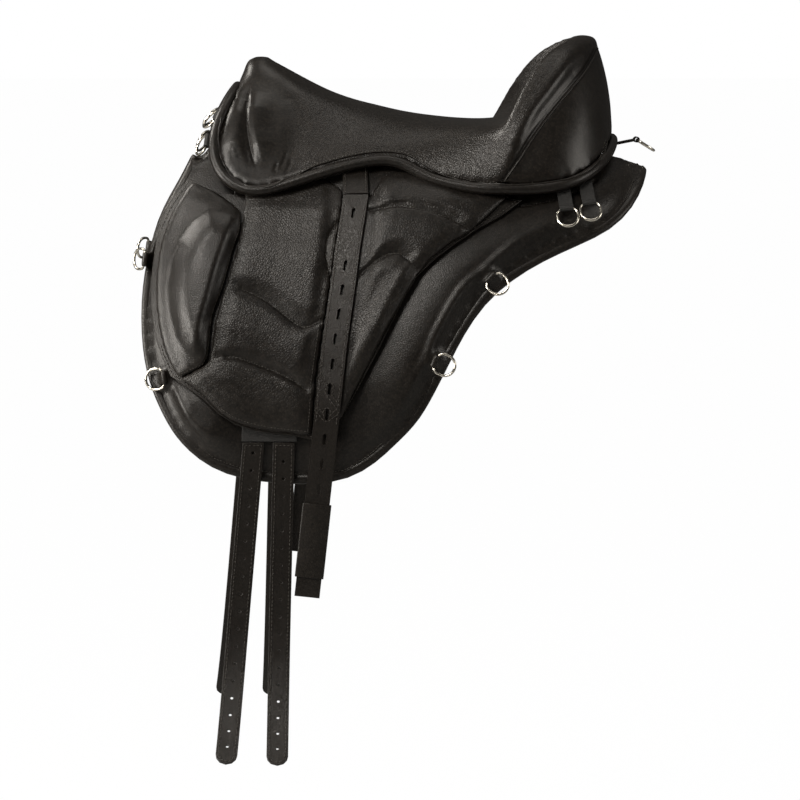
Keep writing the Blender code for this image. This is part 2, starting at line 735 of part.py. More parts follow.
def build_flap(word, side):
    hinge = Vector((FLAP_HINGE.x, side * FLAP_HINGE.y, FLAP_HINGE.z))
    rise = FLAP_RISE + FLAP_LEATHER
    curves = []
    for outline in (FLAP_TOP[::-1], FLAP_BOTTOM, FLAP_RIM, FLAP_REAR[::-1]):
        curves.append(unrolled(even(flat(outline), 25), rise))
    grid = coons(*curves, [i / 10 for i in range(11)], [i / 11 for i in range(12)])
    sheet(f"flap_{word}", grid, FLAP_RISE, rise, side, "smooth", hinge)

    start, end = HEAD_ENDS
    head = []
    for share in (0, 0.35, 0.7, 1):
        row = []
        for i in range(12):
            x = start + (end - start) * i / 11
            row.append(Vector((x, angle_at(x, FLAP_SLIT + (HEAD_TOP - FLAP_SLIT) * share, rise))))
        head.append(row)
    sheet(f"flap_head_{word}", head, FLAP_RISE, rise, side, "smooth")

    bands = [0, 0.14, 0.5, 0.86, 1]
    split = flat(PAD_SPLIT)
    border = flat(BLOCK_RIGHT + BLOCK_LEFT[-1:])
    front = loft([unrolled(even(flat(l), 16), rise) for l in (PAD_TOP, QUILT_A, QUILT_B, PAD_BOTTOM)], 10, bands)
    fit_between(front, rise, (border, BLOCK_CLEARANCE), (split, -PAD_CLEARANCE))
    rear = loft(
        [unrolled(even(flat(l), 16), rise) for l in (REAR_PAD_TOP, QUILT_C, QUILT_D, REAR_PAD_BOTTOM)], 11, bands
    )
    fit_between(rear, rise, (split, PAD_CLEARANCE), None)
    for name, pad, look in (("front", front, "grain"), ("rear", rear, "smooth")):
        heights = pad_heights(pad, len(bands))
        low = PAD_SEAT + PAD_SEAM
        for line, row in zip(heights, pad):
            for c, spot in enumerate(row):
                p = drape(spot.x, spot.y, rise)
                if line[c] > low:
                    line[c] = low + (line[c] - low) * leather_reach(Vector((p.x, p.z)))
        sheet(f"flap_{name}_pad_{word}", pad, PAD_SEAT, heights, side, look, hinge)
    build_block(word, side, hinge)


def fit_between(grid, rise, start, end):
    """Moves a grid's first and last columns to lines beside its neighbours."""
    last = len(grid[0]) - 1
    for row in grid:
        for spot, line, share in ((row[0], start, 0), (row[-1], end, 1)):
            if line is None:
                continue
            z = drape(spot.x, spot.y, rise).z
            shift = line_x(line[0], z) + line[1] * MM - spot.x
            for c, moved in enumerate(row):
                moved.x += shift * (c / last if share else 1 - c / last)


def leather_reach(spot):
    """0 under the stirrup leather, growing to 1 beside it."""
    line = even(flat(LEATHER_LINE), 30)
    return ease((away(spot, line) - LEATHER_WIDTH / 2 - 6 * MM) / (16 * MM))


def pad_heights(grid, band):
    """Crowned heights between quilting rows, drawn in at the edges."""
    rows, columns = len(grid), len(grid[0])
    found = []
    for r in range(rows):
        share = (r % (band - 1)) / (band - 1)
        swell = math.sin(math.pi * share) ** 0.6 if 0 < share < 1 else 0.0
        row = []
        for c in range(columns):
            ends = min(c, columns - 1 - c) / 1.5
            ends = math.sin(min(ends, 1) * math.pi / 2)
            base = PAD_SEAM if 0 < r < rows - 1 else PAD_EDGE
            row.append(PAD_SEAT + base + (PAD_CROWN - base) * swell * (0.25 + 0.75 * ends))
        found.append(row)
    return found


def build_block(word, side, hinge):
    """Padded knee block: a flat border at its front and a high bulge behind it."""
    rise = PAD_SEAT + BLOCK_BORDER
    left = unrolled(even(flat(BLOCK_LEFT), 14), rise)
    right = unrolled(even(flat(BLOCK_RIGHT), 14), rise)
    shares = [0, 0.06, 0.18, 0.26, 0.42, 0.62, 0.8, 0.93, 1]
    grid, heights = [], []
    for r, (a, b) in enumerate(zip(left, right)):
        end = min(r, len(left) - 1 - r)
        lift = math.sin(min(end / 2.2, 1) * math.pi / 2)
        row, line = [], []
        for share in shares:
            bow = 0.012 * math.sin(math.pi * share) * (1 if r == 0 else 0)
            row.append(a.lerp(b, share) - Vector((0, bow)))
            bulge = math.sin(math.pi * min(max((share - 0.24) / 0.76, 0), 1)) ** 0.65 if share > 0.24 else 0
            border = BLOCK_BORDER * (0.6 if share in (0, 1) else 1) * (0.7 + 0.3 * lift)
            line.append(PAD_SEAT + border + (BLOCK_CROWN - BLOCK_BORDER) * bulge * lift)
        grid.append(row)
        heights.append(line)
    sheet(f"knee_block_{word}", grid, PAD_SEAT, heights, side, "smooth", hinge)


# Straps

def strap(name, path, width, thickness, holes, finish_name, hinge, round_tip=True):
    """Flat strap with holes, bent along a path of (point, outward) pairs at its inner face."""
    run = [0.0]
    for (a, _), (b, _) in zip(path, path[1:]):
        run.append(run[-1] + (b - a).length)
    length, half = run[-1], width / 2
    tip = half if round_tip else 0.0
    levels = sorted({round(min(y for _, y in hole), 6) for hole in holes})[1::2]
    levels = [y for y in levels if y < length - tip - 2 * MM]
    edge = [(half, 0)] + [(half, y) for y in levels] + [(half, length - tip)]
    if round_tip:
        edge += [(half * math.cos(a), length - tip + half * math.sin(a)) for a in (0.45, 0.95, math.pi / 2)]
        edge += [(-half * math.cos(a), length - tip + half * math.sin(a)) for a in (0.95, 0.45)]
    edge += [(-half, length - tip)] + [(-half, y) for y in levels[::-1]] + [(-half, 0)]
    mesh = plate([edge] + holes, thickness)
    work = bmesh.new()
    work.from_mesh(mesh)
    for s in run[1:-1]:
        geom = work.verts[:] + work.edges[:] + work.faces[:]
        bmesh.ops.bisect_plane(work, geom=geom, dist=1e-6, plane_co=(0, s, 0), plane_no=(0, 1, 0))
    ways = []
    for i in range(len(path)):
        along = (path[min(i + 1, len(path) - 1)][0] - path[max(i - 1, 0)][0]).normalized()
        out = (path[i][1] - along * path[i][1].dot(along)).normalized()
        wide = out.cross(along)
        if i == 0:
            wide = Vector((math.copysign(1, wide.x), 0, 0))
        ways.append((path[i][0], out, wide))
    for v in work.verts:
        i = min(max(j for j, s in enumerate(run) if s <= v.co.y + 1e-7), len(run) - 2)
        share = (v.co.y - run[i]) / (run[i + 1] - run[i])
        (p, n, w), (q, m, x) = ways[i], ways[i + 1]
        v.co = p.lerp(q, share) + n.lerp(m, share) * (v.co.z + thickness / 2) + w.lerp(x, share) * v.co.x
        v.co -= hinge
    face_out(work)
    work.to_mesh(mesh)
    work.free()
    obj = add(name, mesh)
    obj.location = hinge
    return finish(obj, finish_name)


def leather_path(side):
    """Stirrup leather's inner face: on the flap, then straight down."""
    line = flat(LEATHER_LINE)
    heights = [-LEATHER_SLIT, -0.018, -0.04, -0.066, -0.095, -0.13, -0.17, -0.215, -0.26]
    path = []
    for z in heights:
        x = line_x(line, z)
        path.append((on_side(x, z, LEATHER_SEAT, side), out_of_side(x, z, LEATHER_SEAT, side)))
    low = path[-1][0]
    out = Vector((0, side, 0))
    path[-1] = (low, out)
    for z in (-0.35, LEATHER_END):
        path.append((Vector((line_x(line, z), low.y, z)), out))
    return path


def line_x(line, z):
    """x of a falling line at a height."""
    for a, b in zip(line, line[1:]):
        if z >= b.y:
            break
    return a.x + (b.x - a.x) * (z - a.y) / (b.y - a.y)


def build_leather(word, side):
    path = leather_path(side)
    top = path[0][0]
    hinge = Vector((0, top.y + side * STRAP_LEATHER, 0))
    total = sum((b[0] - a[0]).length for a, b in zip(path, path[1:]))
    lowest = total - LOWEST_SLOT
    places = [lowest - SLOT_PITCH * i for i in range(SLOT_COUNT)] + [TOP_SLOT_DROP]
    a, b = SLOT_WIDTH / 2, SLOT_LENGTH / 2
    slots = [[(-a, s + a - b), (0, s - b), (a, s + a - b), (a, s + b - a), (0, s + b), (-a, s + b - a)] for s in places]
    strap(f"stirrup_leather_{word}", path, LEATHER_WIDTH, STRAP_LEATHER, slots, "strap", hinge, False)
    build_sleeve(word, side, path)
    build_leather_head(word, side)


def build_sleeve(word, side, path):
    """Leather sleeve that slides on the strap."""
    down = (path[-1][0] - path[-2][0]).normalized()
    start = path[-2][0] + down * ((SLEEVE_TOP - path[-2][0].z) / down.z)
    half = LEATHER_WIDTH / 2 + GAP
    deep = STRAP_LEATHER / 2 + GAP
    outer = rounded_box(half + SLEEVE_WALL, deep + SLEEVE_WALL, 1.5 * MM)
    inner = [(half, deep), (-half, deep), (-half, -deep), (half, -deep)]
    mesh = plate([outer, inner], SLEEVE_LENGTH)
    out = Vector((0, side, 0))
    wide = out.cross(down).normalized()
    centre = start + down * SLEEVE_LENGTH / 2 + out * STRAP_LEATHER / 2
    turn = Matrix((wide, out, wide.cross(out))).transposed()
    obj = add(f"leather_sleeve_{word}", mesh)
    obj.matrix_world = Matrix.Translation(centre) @ turn.to_4x4()
    finish(obj, "smooth")


def rounded_box(a, b, r):
    c = r * 0.3
    return [
        (a, b - r), (a - c, b - c), (a - r, b), (r - a, b), (c - a, b - c), (-a, b - r),
        (-a, r - b), (c - a, c - b), (r - a, -b), (a - r, -b), (a - c, c - b), (a, r - b),
    ]


def build_leather_head(word, side):
    """Fixed top of the stirrup leather, looped over its bar, and the bar."""
    x = LEATHER_LINE[0][0] * MM
    section_points = []
    for share in (0, 0.35, 0.7, 1):
        z = FLAP_SLIT + (HEAD_TOP + 2 * MM - FLAP_SLIT) * share
        seat = LEATHER_SEAT + (PAD_SEAT - LEATHER_SEAT) * ease(share)
        section_points.append((on_side(x, z, seat, side), out_of_side(x, z, seat, side)))
    base = section_points[-1][0]
    outward = section_points[-1][1]
    up = Vector((0, -outward.z * side, outward.y * side)).normalized()
    loop = BAR_RADIUS + BAR_CLEARANCE
    centre = base + up * 16 * MM - outward * 3 * MM
    inner = [(p.y, p.z) for p, _ in section_points]
    outer = [((p + n * STRAP_LEATHER).y, (p + n * STRAP_LEATHER).z) for p, n in section_points]
    around = []
    big = loop + STRAP_LEATHER * 0.8
    for i in range(9):
        a = math.radians(-100 + 200 * i / 8)
        spot = centre + up * math.cos(a) * big + outward * math.sin(a) * big
        around.append((spot.y, spot.z))
    outline = inner + around + outer[::-1]
    mesh = plate([outline, circle(centre.y, centre.z, loop, 8, math.pi / 8)], LEATHER_WIDTH)
    obj = add(f"stirrup_leather_head_{word}", mesh)
    turn = Matrix(((0, 0, 1), (1, 0, 0), (0, 1, 0)))
    obj.matrix_world = Matrix.Translation((x, 0, 0)) @ turn.to_4x4()
    finish(obj, "strap")
    inwards = Vector((0, -side, 0.1)).normalized()
    span = LEATHER_WIDTH / 2 + 9 * MM
    points = [Vector((x - span, centre.y, centre.z)) + inwards * BAR_LEG, Vector((x - span, centre.y, centre.z))]
    points += [Vector((x + span, centre.y, centre.z)), Vector((x + span, centre.y, centre.z)) + inwards * BAR_LEG]
    finish(tube(f"stirrup_bar_{word}", points, BAR_RADIUS * 0.9, False, 2), "steel")


def build_billets(word, side):
    rise = PANEL_FLAT + LAYER_GAP
    top, bottom = flat(HANGER_TOP), flat(HANGER_BOTTOM)
    grid = []
    for i in range(12):
        share = i / 11
        line = [a.lerp(b, share) for a, b in zip(top, bottom)]
        grid.append([Vector((p.x, angle_at(p.x, p.y, rise))) for p in even(line, 6)])
    sheet(f"billet_hanger_{word}", grid, rise, rise + HANGER_LEATHER, side, "webbing")
    for place, line in BILLET_LINES.items():
        start, end = flat(line)
        lean = (end.x - start.x) / (start.y - end.y)
        seat = on_side(start.x, start.y, rise + LAYER_GAP, side)
        path, spot, out_y = [], Vector((start.x, seat.y, start.y - 2 * GAP)), 0.0
        steps = [0.0, BILLET_STRAIGHT] + [BILLET_STRAIGHT + (BILLET_LENGTH - BILLET_STRAIGHT) * i / 6 for i in range(1, 7)]
        for i, s in enumerate(steps):
            curl = math.radians(BILLET_CURL) * max(0.0, (s - BILLET_STRAIGHT) / (BILLET_LENGTH - BILLET_STRAIGHT))
            way = Vector((lean, side * math.sin(curl), -math.cos(curl)))
            if i:
                spot = spot + last.normalized().lerp(way.normalized(), 0.5) * (s - steps[i - 1])
            path.append((spot, Vector((0, side * math.cos(curl), math.sin(curl)))))
            last = way
        holes = [circle(0, FIRST_HOLE[place] + HOLE_PITCH[place] * i, HOLE_RADIUS, 6) for i in range(HOLE_COUNT)]
        hinge = Vector((0, side * (seat.y * side + STRAP_LEATHER), BILLET_HINGE))
        strap(f"billet_{place}_{word}", path, BILLET_WIDTH, STRAP_LEATHER, holes, "strap", hinge)


# Rings and their tabs

def ring_mesh():
    """D-ring: a straight bar along X and a round bow towards +Y."""
    half, centre = RING_HALF_WIDTH, RING_DEPTH - RING_HALF_WIDTH
    points = [Vector((0.6 * MM - half, 0, 0)), Vector((half - 0.6 * MM, 0, 0))]
    for i in range(9):
        a = math.radians(-8 + 196 * i / 8)
        points.append(Vector((half * math.cos(a), centre + half * math.sin(a), 0)))
    obj = tube("ring", points, WIRE_RADIUS, True, 1)
    mesh = obj.data
    bpy.data.objects.remove(obj)
    return mesh


def ring(name, bar, along, reach):
    """A D-ring with the middle of its bar at a point; reach points to its bow."""
    along = along.normalized()
    reach = (reach - along * reach.dot(along)).normalized()
    obj = add(name, ring_mesh())
    turn = Matrix((along, reach, along.cross(reach))).transposed()
    obj.matrix_world = Matrix.Translation(bar) @ turn.to_4x4()
    return finish(obj, "nickel")


def tab_mesh(length):
    """Woven tab: a doubled tail from the origin along +Y and a loop around the bar at its end."""
    hole = WIRE_RADIUS + BAR_CLEARANCE
    big, thin = hole + 1.5 * MM, TAB_THICKNESS / 2
    outline = [(-thin, 0), (thin, 0), (thin, length - big)]
    outline += [(big * math.sin(a), length - big * math.cos(a)) for a in [math.radians(d) for d in (50, 90, 135)]]
    outline += [(big * math.sin(a), length - big * math.cos(a)) for a in [math.radians(d) for d in (180, 225, 270, 310)]]
    outline += [(-thin, length - big)]
    return plate([outline, circle(0, length, hole, 8, math.pi / 8)], 2 * TAB_HALF_WIDTH)


def tab(name, tail, bar, along, finish_name="webbing"):
    """Tab from its tail to the bar that it goes round."""
    obj = add(name, tab_mesh((bar - tail).length))
    up = (bar - tail).normalized()
    along = (along - up * along.dot(up)).normalized()
    turn = Matrix((up.cross(along), up, along)).transposed()
    obj.matrix_world = Matrix.Translation(tail) @ turn.to_4x4()
    return finish(obj, finish_name)


def union(target, other):
    """Adds a piece to another and removes it."""
    bpy.context.view_layer.update()
    join = target.modifiers.new("join", "BOOLEAN")
    join.operation = "UNION"
    join.object = other
    view = bpy.context.evaluated_depsgraph_get()
    mesh = bpy.data.meshes.new_from_object(target.evaluated_get(view))
    target.modifiers.clear()
    target.data = mesh
    bpy.data.objects.remove(other)


def square_to(along, way):
    """A direction made square to another."""
    return (along - way * along.dot(way) / way.length_squared).normalized()


def build_rings(word, side, binding):
    line = even(flat(PANEL_EDGE), 200)
    edge_line = inset(line, BINDING_WIDTH + PANEL_SEAM)
    cover = covered()
    for place, (x, z, bar_inset, foot_inset) in EDGE_RINGS.items():
        near = min(range(4, 196), key=lambda i: (line[i] - Vector((x, z)) * MM).length)
        ahead = (line[near + 1] - line[near - 1]).normalized()
        inwards = Vector((-ahead.y, ahead.x)) * MM
        bar2 = line[near] + inwards * bar_inset
        rise = max(panel_rise(bar2, edge_line, cover), PANEL_EDGE_HEIGHT) + RING_RISE
        bar = on_side(bar2.x, bar2.y, rise, side)
        foot2 = line[near] + inwards * foot_inset
        foot = on_side(foot2.x, foot2.y, PANEL_EDGE_HEIGHT - TAB_THICKNESS / 2, side)
        beyond2 = line[near] - inwards * 9
        beyond = on_side(beyond2.x, beyond2.y, rise + 4 * MM, side)
        a, b = line[near - 4], line[near + 4]
        along = square_to(on_side(b.x, b.y, 0, side) - on_side(a.x, a.y, 0, side), bar - foot)
        union(binding, tab(f"edge_tab_{place}_{word}", foot, bar, along))
        free = Vector((FREE_HANG[0], side * FREE_HANG[1], FREE_HANG[2]))
        ring(f"ring_{place}_{word}", bar, along, free if bar_inset < 0 else beyond - bar)
    for place, (x, z) in CANTLE_RINGS.items():
        x, z = x * MM, z * MM
        bar = on_side(x, z, PANEL_RIDGE + 7 * MM, side)
        tail = on_side(x - 3 * MM, 14 * MM, PANEL_RIDGE + 2.5 * MM, side)
        low = on_side(x + 3 * MM, z - RING_DEPTH, PANEL_RIDGE + 9 * MM, side)
        along = square_to(Vector((1, 0, 0.1)), bar - tail)
        tab(f"tab_{place}_{word}", tail, bar, along)
        ring(f"ring_{place}_{word}", bar, along, low - bar)
    for place, (station, hang) in POMMEL_RINGS.items():
        centre, ahead = roll_at(station), roll_way(station)
        seat = square_to(guide(SIDE, station) - centre, ahead)
        under = ahead.cross(seat).normalized()
        tail = centre + under * (ROLL_RADIUS + TAB_THICKNESS / 2 + 3 * GAP) + seat * 3 * MM
        bar = centre + under * (ROLL_RADIUS + TAB_THICKNESS / 2 + 3 * GAP) - seat * 8.5 * MM
        tail, bar, ahead = [Vector((v.x, v.y * side, v.z)) for v in (tail, bar, ahead)]
        tab(f"tab_{place}_{word}", tail, bar, ahead)
        ring(f"ring_{place}_{word}", bar, ahead, Vector((hang[0], side * hang[1], hang[2])))


def build_crupper():
    tail, bar = Vector(CRUPPER_TAIL) * MM, Vector(CRUPPER_BAR) * MM
    tab("crupper_strap", tail, bar, Vector((0, 1, 0)), "strap")
    ring("ring_crupper", bar, Vector((0, 1, 0)), Vector((24, 0, -15)))


def main():
    for obj in list(bpy.data.objects):
        bpy.data.objects.remove(obj)
    collection = bpy.data.collections.new("endurance_saddle")
    bpy.context.scene.collection.children.link(collection)
    build_seat()
    build_crupper()
    for word, side in SIDES.items():
        chain = build_panel(word, side)
        binding = build_binding(word, side, chain)
        build_rings(word, side, binding)
        build_flap(word, side)
        build_leather(word, side)
        build_billets(word, side)


main()
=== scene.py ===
import json
import math

import bmesh
import bpy
import numpy as np
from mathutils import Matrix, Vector
from mathutils.bvhtree import BVHTree
from mathutils.geometry import interpolate_bezier
from mathutils.kdtree import KDTree


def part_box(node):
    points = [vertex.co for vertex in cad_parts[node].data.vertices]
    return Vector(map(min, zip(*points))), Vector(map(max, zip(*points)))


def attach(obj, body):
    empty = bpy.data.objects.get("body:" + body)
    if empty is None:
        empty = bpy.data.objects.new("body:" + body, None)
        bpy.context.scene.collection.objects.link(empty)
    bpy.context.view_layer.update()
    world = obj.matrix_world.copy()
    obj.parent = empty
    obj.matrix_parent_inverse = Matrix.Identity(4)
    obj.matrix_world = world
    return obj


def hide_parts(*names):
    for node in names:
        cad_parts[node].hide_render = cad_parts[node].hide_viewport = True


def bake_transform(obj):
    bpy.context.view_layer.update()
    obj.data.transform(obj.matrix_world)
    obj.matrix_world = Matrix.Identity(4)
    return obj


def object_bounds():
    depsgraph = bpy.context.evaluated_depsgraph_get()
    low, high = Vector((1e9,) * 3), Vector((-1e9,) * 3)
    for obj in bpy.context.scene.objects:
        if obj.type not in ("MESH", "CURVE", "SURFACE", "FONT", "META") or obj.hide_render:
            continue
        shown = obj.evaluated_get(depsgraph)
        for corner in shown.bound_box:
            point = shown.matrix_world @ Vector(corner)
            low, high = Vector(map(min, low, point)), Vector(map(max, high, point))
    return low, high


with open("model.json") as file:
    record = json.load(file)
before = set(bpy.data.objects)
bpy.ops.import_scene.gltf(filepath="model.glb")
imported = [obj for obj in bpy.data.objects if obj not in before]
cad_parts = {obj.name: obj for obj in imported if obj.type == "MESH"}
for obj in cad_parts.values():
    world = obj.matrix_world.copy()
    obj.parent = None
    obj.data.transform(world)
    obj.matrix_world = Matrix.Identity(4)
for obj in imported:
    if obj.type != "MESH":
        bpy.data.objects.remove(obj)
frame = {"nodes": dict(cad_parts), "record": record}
nodes = frame["nodes"]
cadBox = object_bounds()
bodyOf = {n: body for body, names in frame["record"]["behaviour"]["bodies"].items() for n in names}
slotOf = {p["node"]: p["material_slot"] for p in frame["record"]["subparts"]}
mm = 0.001
print("frame loaded")


# Materials

def nodeTree(name):
    material = bpy.data.materials.new(name)
    material.use_nodes = True
    tree = material.node_tree
    return material, tree, tree.nodes["Principled BSDF"]


def add(tree, kind, **values):
    node = tree.nodes.new(kind)
    for key, value in values.items():
        if hasattr(node, key):
            setattr(node, key, value)
        else:
            node.inputs[key.replace("_", " ")].default_value = value
    return node


def ramp(tree, source, low, high, dark, light):
    node = tree.nodes.new("ShaderNodeMapRange")
    node.inputs["From Min"].default_value = low
    node.inputs["From Max"].default_value = high
    node.inputs["To Min"].default_value = dark
    node.inputs["To Max"].default_value = light
    tree.links.new(source, node.inputs["Value"])
    return node.outputs["Result"]


def times(tree, a, b):
    node = add(tree, "ShaderNodeMath", operation="MULTIPLY")
    tree.links.new(a, node.inputs[0])
    tree.links.new(b, node.inputs[1])
    return node.outputs["Value"]


def colourMix(tree, dark, light, share):
    node = add(tree, "ShaderNodeMix", data_type="RGBA")
    node.inputs["B"].default_value = (*light, 1)
    if isinstance(dark, tuple):
        node.inputs["A"].default_value = (*dark, 1)
    else:
        tree.links.new(dark, node.inputs["A"])
    tree.links.new(share, node.inputs["Factor"])
    return node.outputs["Result"]


def bump(tree, source, depth, before=None):
    node = add(tree, "ShaderNodeBump", Strength=1.0, Distance=depth)
    tree.links.new(source, node.inputs["Height"])
    if before:
        tree.links.new(before, node.inputs["Normal"])
    return node.outputs["Normal"]


def leather(name, look):
    # Creased hide: pebbles between fine furrows, pores and long soft folds, with a random tone per pebble
    # that also serves as a painted sheen, painted shade in the furrows, and lighter edges that are partly
    # wear and partly a painted highlight
    material, tree, shader = nodeTree(name)
    place = tree.nodes.new("ShaderNodeTexCoord").outputs["Object"]
    cells = add(tree, "ShaderNodeTexVoronoi", feature="DISTANCE_TO_EDGE", Scale=look["grain"])
    pebbleToneAndSheen = add(tree, "ShaderNodeTexVoronoi", feature="F1", Scale=look["grain"])
    pores = add(tree, "ShaderNodeTexNoise", Scale=look["grain"] * 2.6, Detail=1.0)
    wander = add(tree, "ShaderNodeTexNoise", Scale=look["grain"] * 0.6, Detail=2.0)
    folds = add(tree, "ShaderNodeTexNoise", Scale=30.0, Detail=5.0, Roughness=0.6)
    tone = add(tree, "ShaderNodeTexNoise", Scale=7.0, Detail=4.0)
    for texture in (pores, wander, folds, tone):
        tree.links.new(place, texture.inputs["Vector"])
    shifted = add(tree, "ShaderNodeVectorMath", operation="MULTIPLY_ADD")
    shifted.inputs[1].default_value = (0.6 / look["grain"],) * 3
    tree.links.new(wander.outputs["Color"], shifted.inputs[0])
    tree.links.new(place, shifted.inputs[2])
    for texture in (cells, pebbleToneAndSheen):
        tree.links.new(shifted.outputs["Vector"], texture.inputs["Vector"])
    pebbles = ramp(tree, cells.outputs["Distance"], 0.0, 0.32, 0.0, 1.0)
    # Random tone per pebble, strong enough to stand in as a painted sheen on each pebble
    tint = tree.nodes.new("ShaderNodeSeparateColor")
    tree.links.new(pebbleToneAndSheen.outputs["Color"], tint.inputs["Color"])
    mix = add(tree, "ShaderNodeMath", operation="MULTIPLY_ADD")
    mix.inputs[1].default_value = 0.7
    tree.links.new(tint.outputs["Red"], mix.inputs[0])
    tree.links.new(ramp(tree, tone.outputs["Fac"], 0.3, 0.7, 0.0, 0.3), mix.inputs[2])
    colour = colourMix(tree, look["dark"], look["light"], mix.outputs["Value"])
    # Painted shade: the furrows between the pebbles are darkened with the furrow colour
    colour = colourMix(tree, colour, look["furrow"], ramp(tree, pebbles, 0.0, 1.0, 0.5, 0.0))
    # Lighter edges where the form is sharpest: partly wear, partly a painted highlight along the edges
    edge = tree.nodes.new("ShaderNodeNewGeometry").outputs["Pointiness"]
    colour = colourMix(tree, colour, look["wornEdgeAndSheen"], ramp(tree, edge, 0.52, 0.64, 0.0, look["wearAndSheen"]))
    tree.links.new(colour, shader.inputs["Base Color"])
    low, high = look["roughness"]
    tree.links.new(ramp(tree, folds.outputs["Fac"], 0.3, 0.7, low, high), shader.inputs["Roughness"])
    shader.inputs["Specular IOR Level"].default_value = look["specular"]
    shader.inputs["Coat Weight"].default_value = look["coat"]
    shader.inputs["Coat Roughness"].default_value = 0.3
    if look.get("grainFrom"):
        where = add(tree, "ShaderNodeAttribute", attribute_name=look["grainFrom"]).outputs["Fac"]
        pebbles = times(tree, pebbles, where)
    normal = bump(tree, folds.outputs["Fac"], look["folds"])
    normal = bump(tree, pebbles, look["pebble"], normal)
    normal = bump(tree, pores.outputs["Fac"], look["pore"], normal)
    tree.links.new(normal, shader.inputs["Normal"])
    return material


def webbing(name, look):
    # Woven tape: two sets of ribs across each other, and fuzz
    material, tree, shader = nodeTree(name)
    place = tree.nodes.new("ShaderNodeTexCoord").outputs["Object"]
    ribs = []
    for direction in ("X", "Z"):
        wave = add(tree, "ShaderNodeTexWave", bands_direction=direction, Scale=look["ribs"], Distortion=0.6)
        tree.links.new(place, wave.inputs["Vector"])
        ribs.append(wave.outputs["Fac"])
    weave = times(tree, *ribs)
    fuzz = add(tree, "ShaderNodeTexNoise", Scale=900.0, Detail=2.0)
    tree.links.new(place, fuzz.inputs["Vector"])
    tree.links.new(colourMix(tree, look["dark"], look["light"], weave), shader.inputs["Base Color"])
    tree.links.new(ramp(tree, fuzz.outputs["Fac"], 0.3, 0.7, 0.6, 0.85), shader.inputs["Roughness"])
    normal = bump(tree, weave, look["depth"])
    tree.links.new(bump(tree, fuzz.outputs["Fac"], 0.0001, normal), shader.inputs["Normal"])
    return material


def metal(name, look):
    # Plated wire: hazy patches and fine scratches
    material, tree, shader = nodeTree(name)
    place = tree.nodes.new("ShaderNodeTexCoord").outputs["Object"]
    haze = add(tree, "ShaderNodeTexNoise", Scale=260.0, Detail=4.0)
    scratch = add(tree, "ShaderNodeTexNoise", Scale=1400.0, Detail=2.0)
    for texture in (haze, scratch):
        tree.links.new(place, texture.inputs["Vector"])
    patches = ramp(tree, haze.outputs["Fac"], 0.35, 0.65, 0.0, 1.0)
    tree.links.new(colourMix(tree, look["dark"], look["light"], patches), shader.inputs["Base Color"])
    shader.inputs["Metallic"].default_value = 1.0
    low, high = look["roughness"]
    tree.links.new(ramp(tree, haze.outputs["Fac"], 0.3, 0.7, low, high), shader.inputs["Roughness"])
    tree.links.new(bump(tree, scratch.outputs["Fac"], 0.00003), shader.inputs["Normal"])
    return material


# Colour ends of the black hides; the furrow colour is painted shade for the grain's furrows
black = {
    "dark": (0.0034, 0.0028, 0.0023), "light": (0.018, 0.0148, 0.012), "furrow": (0.003, 0.0024, 0.0019),
    "wornEdgeAndSheen": (0.03, 0.025, 0.02), "wearAndSheen": 0.3, "specular": 0.3, "coat": 0.0,
}
pebbled = leather("pebbledLeather", {
    **black, "grain": 360.0, "roughness": (0.34, 0.44), "folds": 0.0004, "pebble": 0.00017, "pore": 0.00002,
})
seatHide = leather("seatHide", {
    **black, "grain": 390.0, "grainFrom": "grainHere", "roughness": (0.29, 0.39), "folds": 0.0005,
    "pebble": 0.00016, "pore": 0.00002,
})
smooth = leather("smoothLeather", {
    **black, "grain": 430.0, "roughness": (0.33, 0.41), "coat": 0.03, "folds": 0.0003, "pebble": 0.0001,
    "pore": 0.00002,
})
bridle = leather("bridleLeather", {
    **black, "dark": (0.0055, 0.0044, 0.0035), "light": (0.0165, 0.0132, 0.0105), "wearAndSheen": 0.05,
    "grain": 640.0, "roughness": (0.3, 0.4), "folds": 0.0004, "pebble": 0.00014, "pore": 0.00003,
})
thread = leather("waxedThread", {
    **black, "dark": (0.034, 0.031, 0.027), "light": (0.05, 0.046, 0.04), "furrow": (0.026, 0.024, 0.021),
    "grain": 2200.0, "roughness": (0.4, 0.55), "folds": 0.00005, "pebble": 0.00005, "pore": 0.00003,
})
woven = webbing("blackWebbing", {
    "ribs": 230.0, "dark": (0.003, 0.003, 0.003), "light": (0.018, 0.017, 0.0155), "depth": 0.0004,
})
nickel = metal("nickelPlate", {
    "dark": (0.62, 0.59, 0.52), "light": (0.78, 0.75, 0.68), "roughness": (0.12, 0.28),
})
steel = metal("brushedSteel", {
    "dark": (0.3, 0.3, 0.29), "light": (0.45, 0.44, 0.43), "roughness": (0.3, 0.5),
})
finishes = {"smooth": smooth, "strap": bridle, "webbing": woven, "nickel": nickel, "steel": steel}
print("materials made")


# Shaping

def piece(name, bm):
    mesh = bpy.data.meshes.new(name)
    bm.to_mesh(mesh)
    bm.free()
    if "custom_normal" in mesh.attributes:
        mesh.attributes.remove(mesh.attributes["custom_normal"])
    mesh.materials.clear()
    obj = bpy.data.objects.new(name, mesh)
    bpy.context.scene.collection.objects.link(obj)
    return obj


def merged(*names):
    # The CAD nodes' own meshes as one mesh with shared corners and quads
    bm = bmesh.new()
    for name in names:
        bm.from_mesh(nodes[name].data)
    bmesh.ops.remove_doubles(bm, verts=bm.verts[:], dist=0.00002)
    bmesh.ops.join_triangles(bm, faces=bm.faces[:], angle_face_threshold=0.7, angle_shape_threshold=1.2)
    bmesh.ops.recalc_face_normals(bm, faces=bm.faces[:])
    return bm


def swell(bm, amount):
    bm.normal_update()
    for v, n in [(v, v.normal.copy()) for v in bm.verts]:
        v.co += n * amount


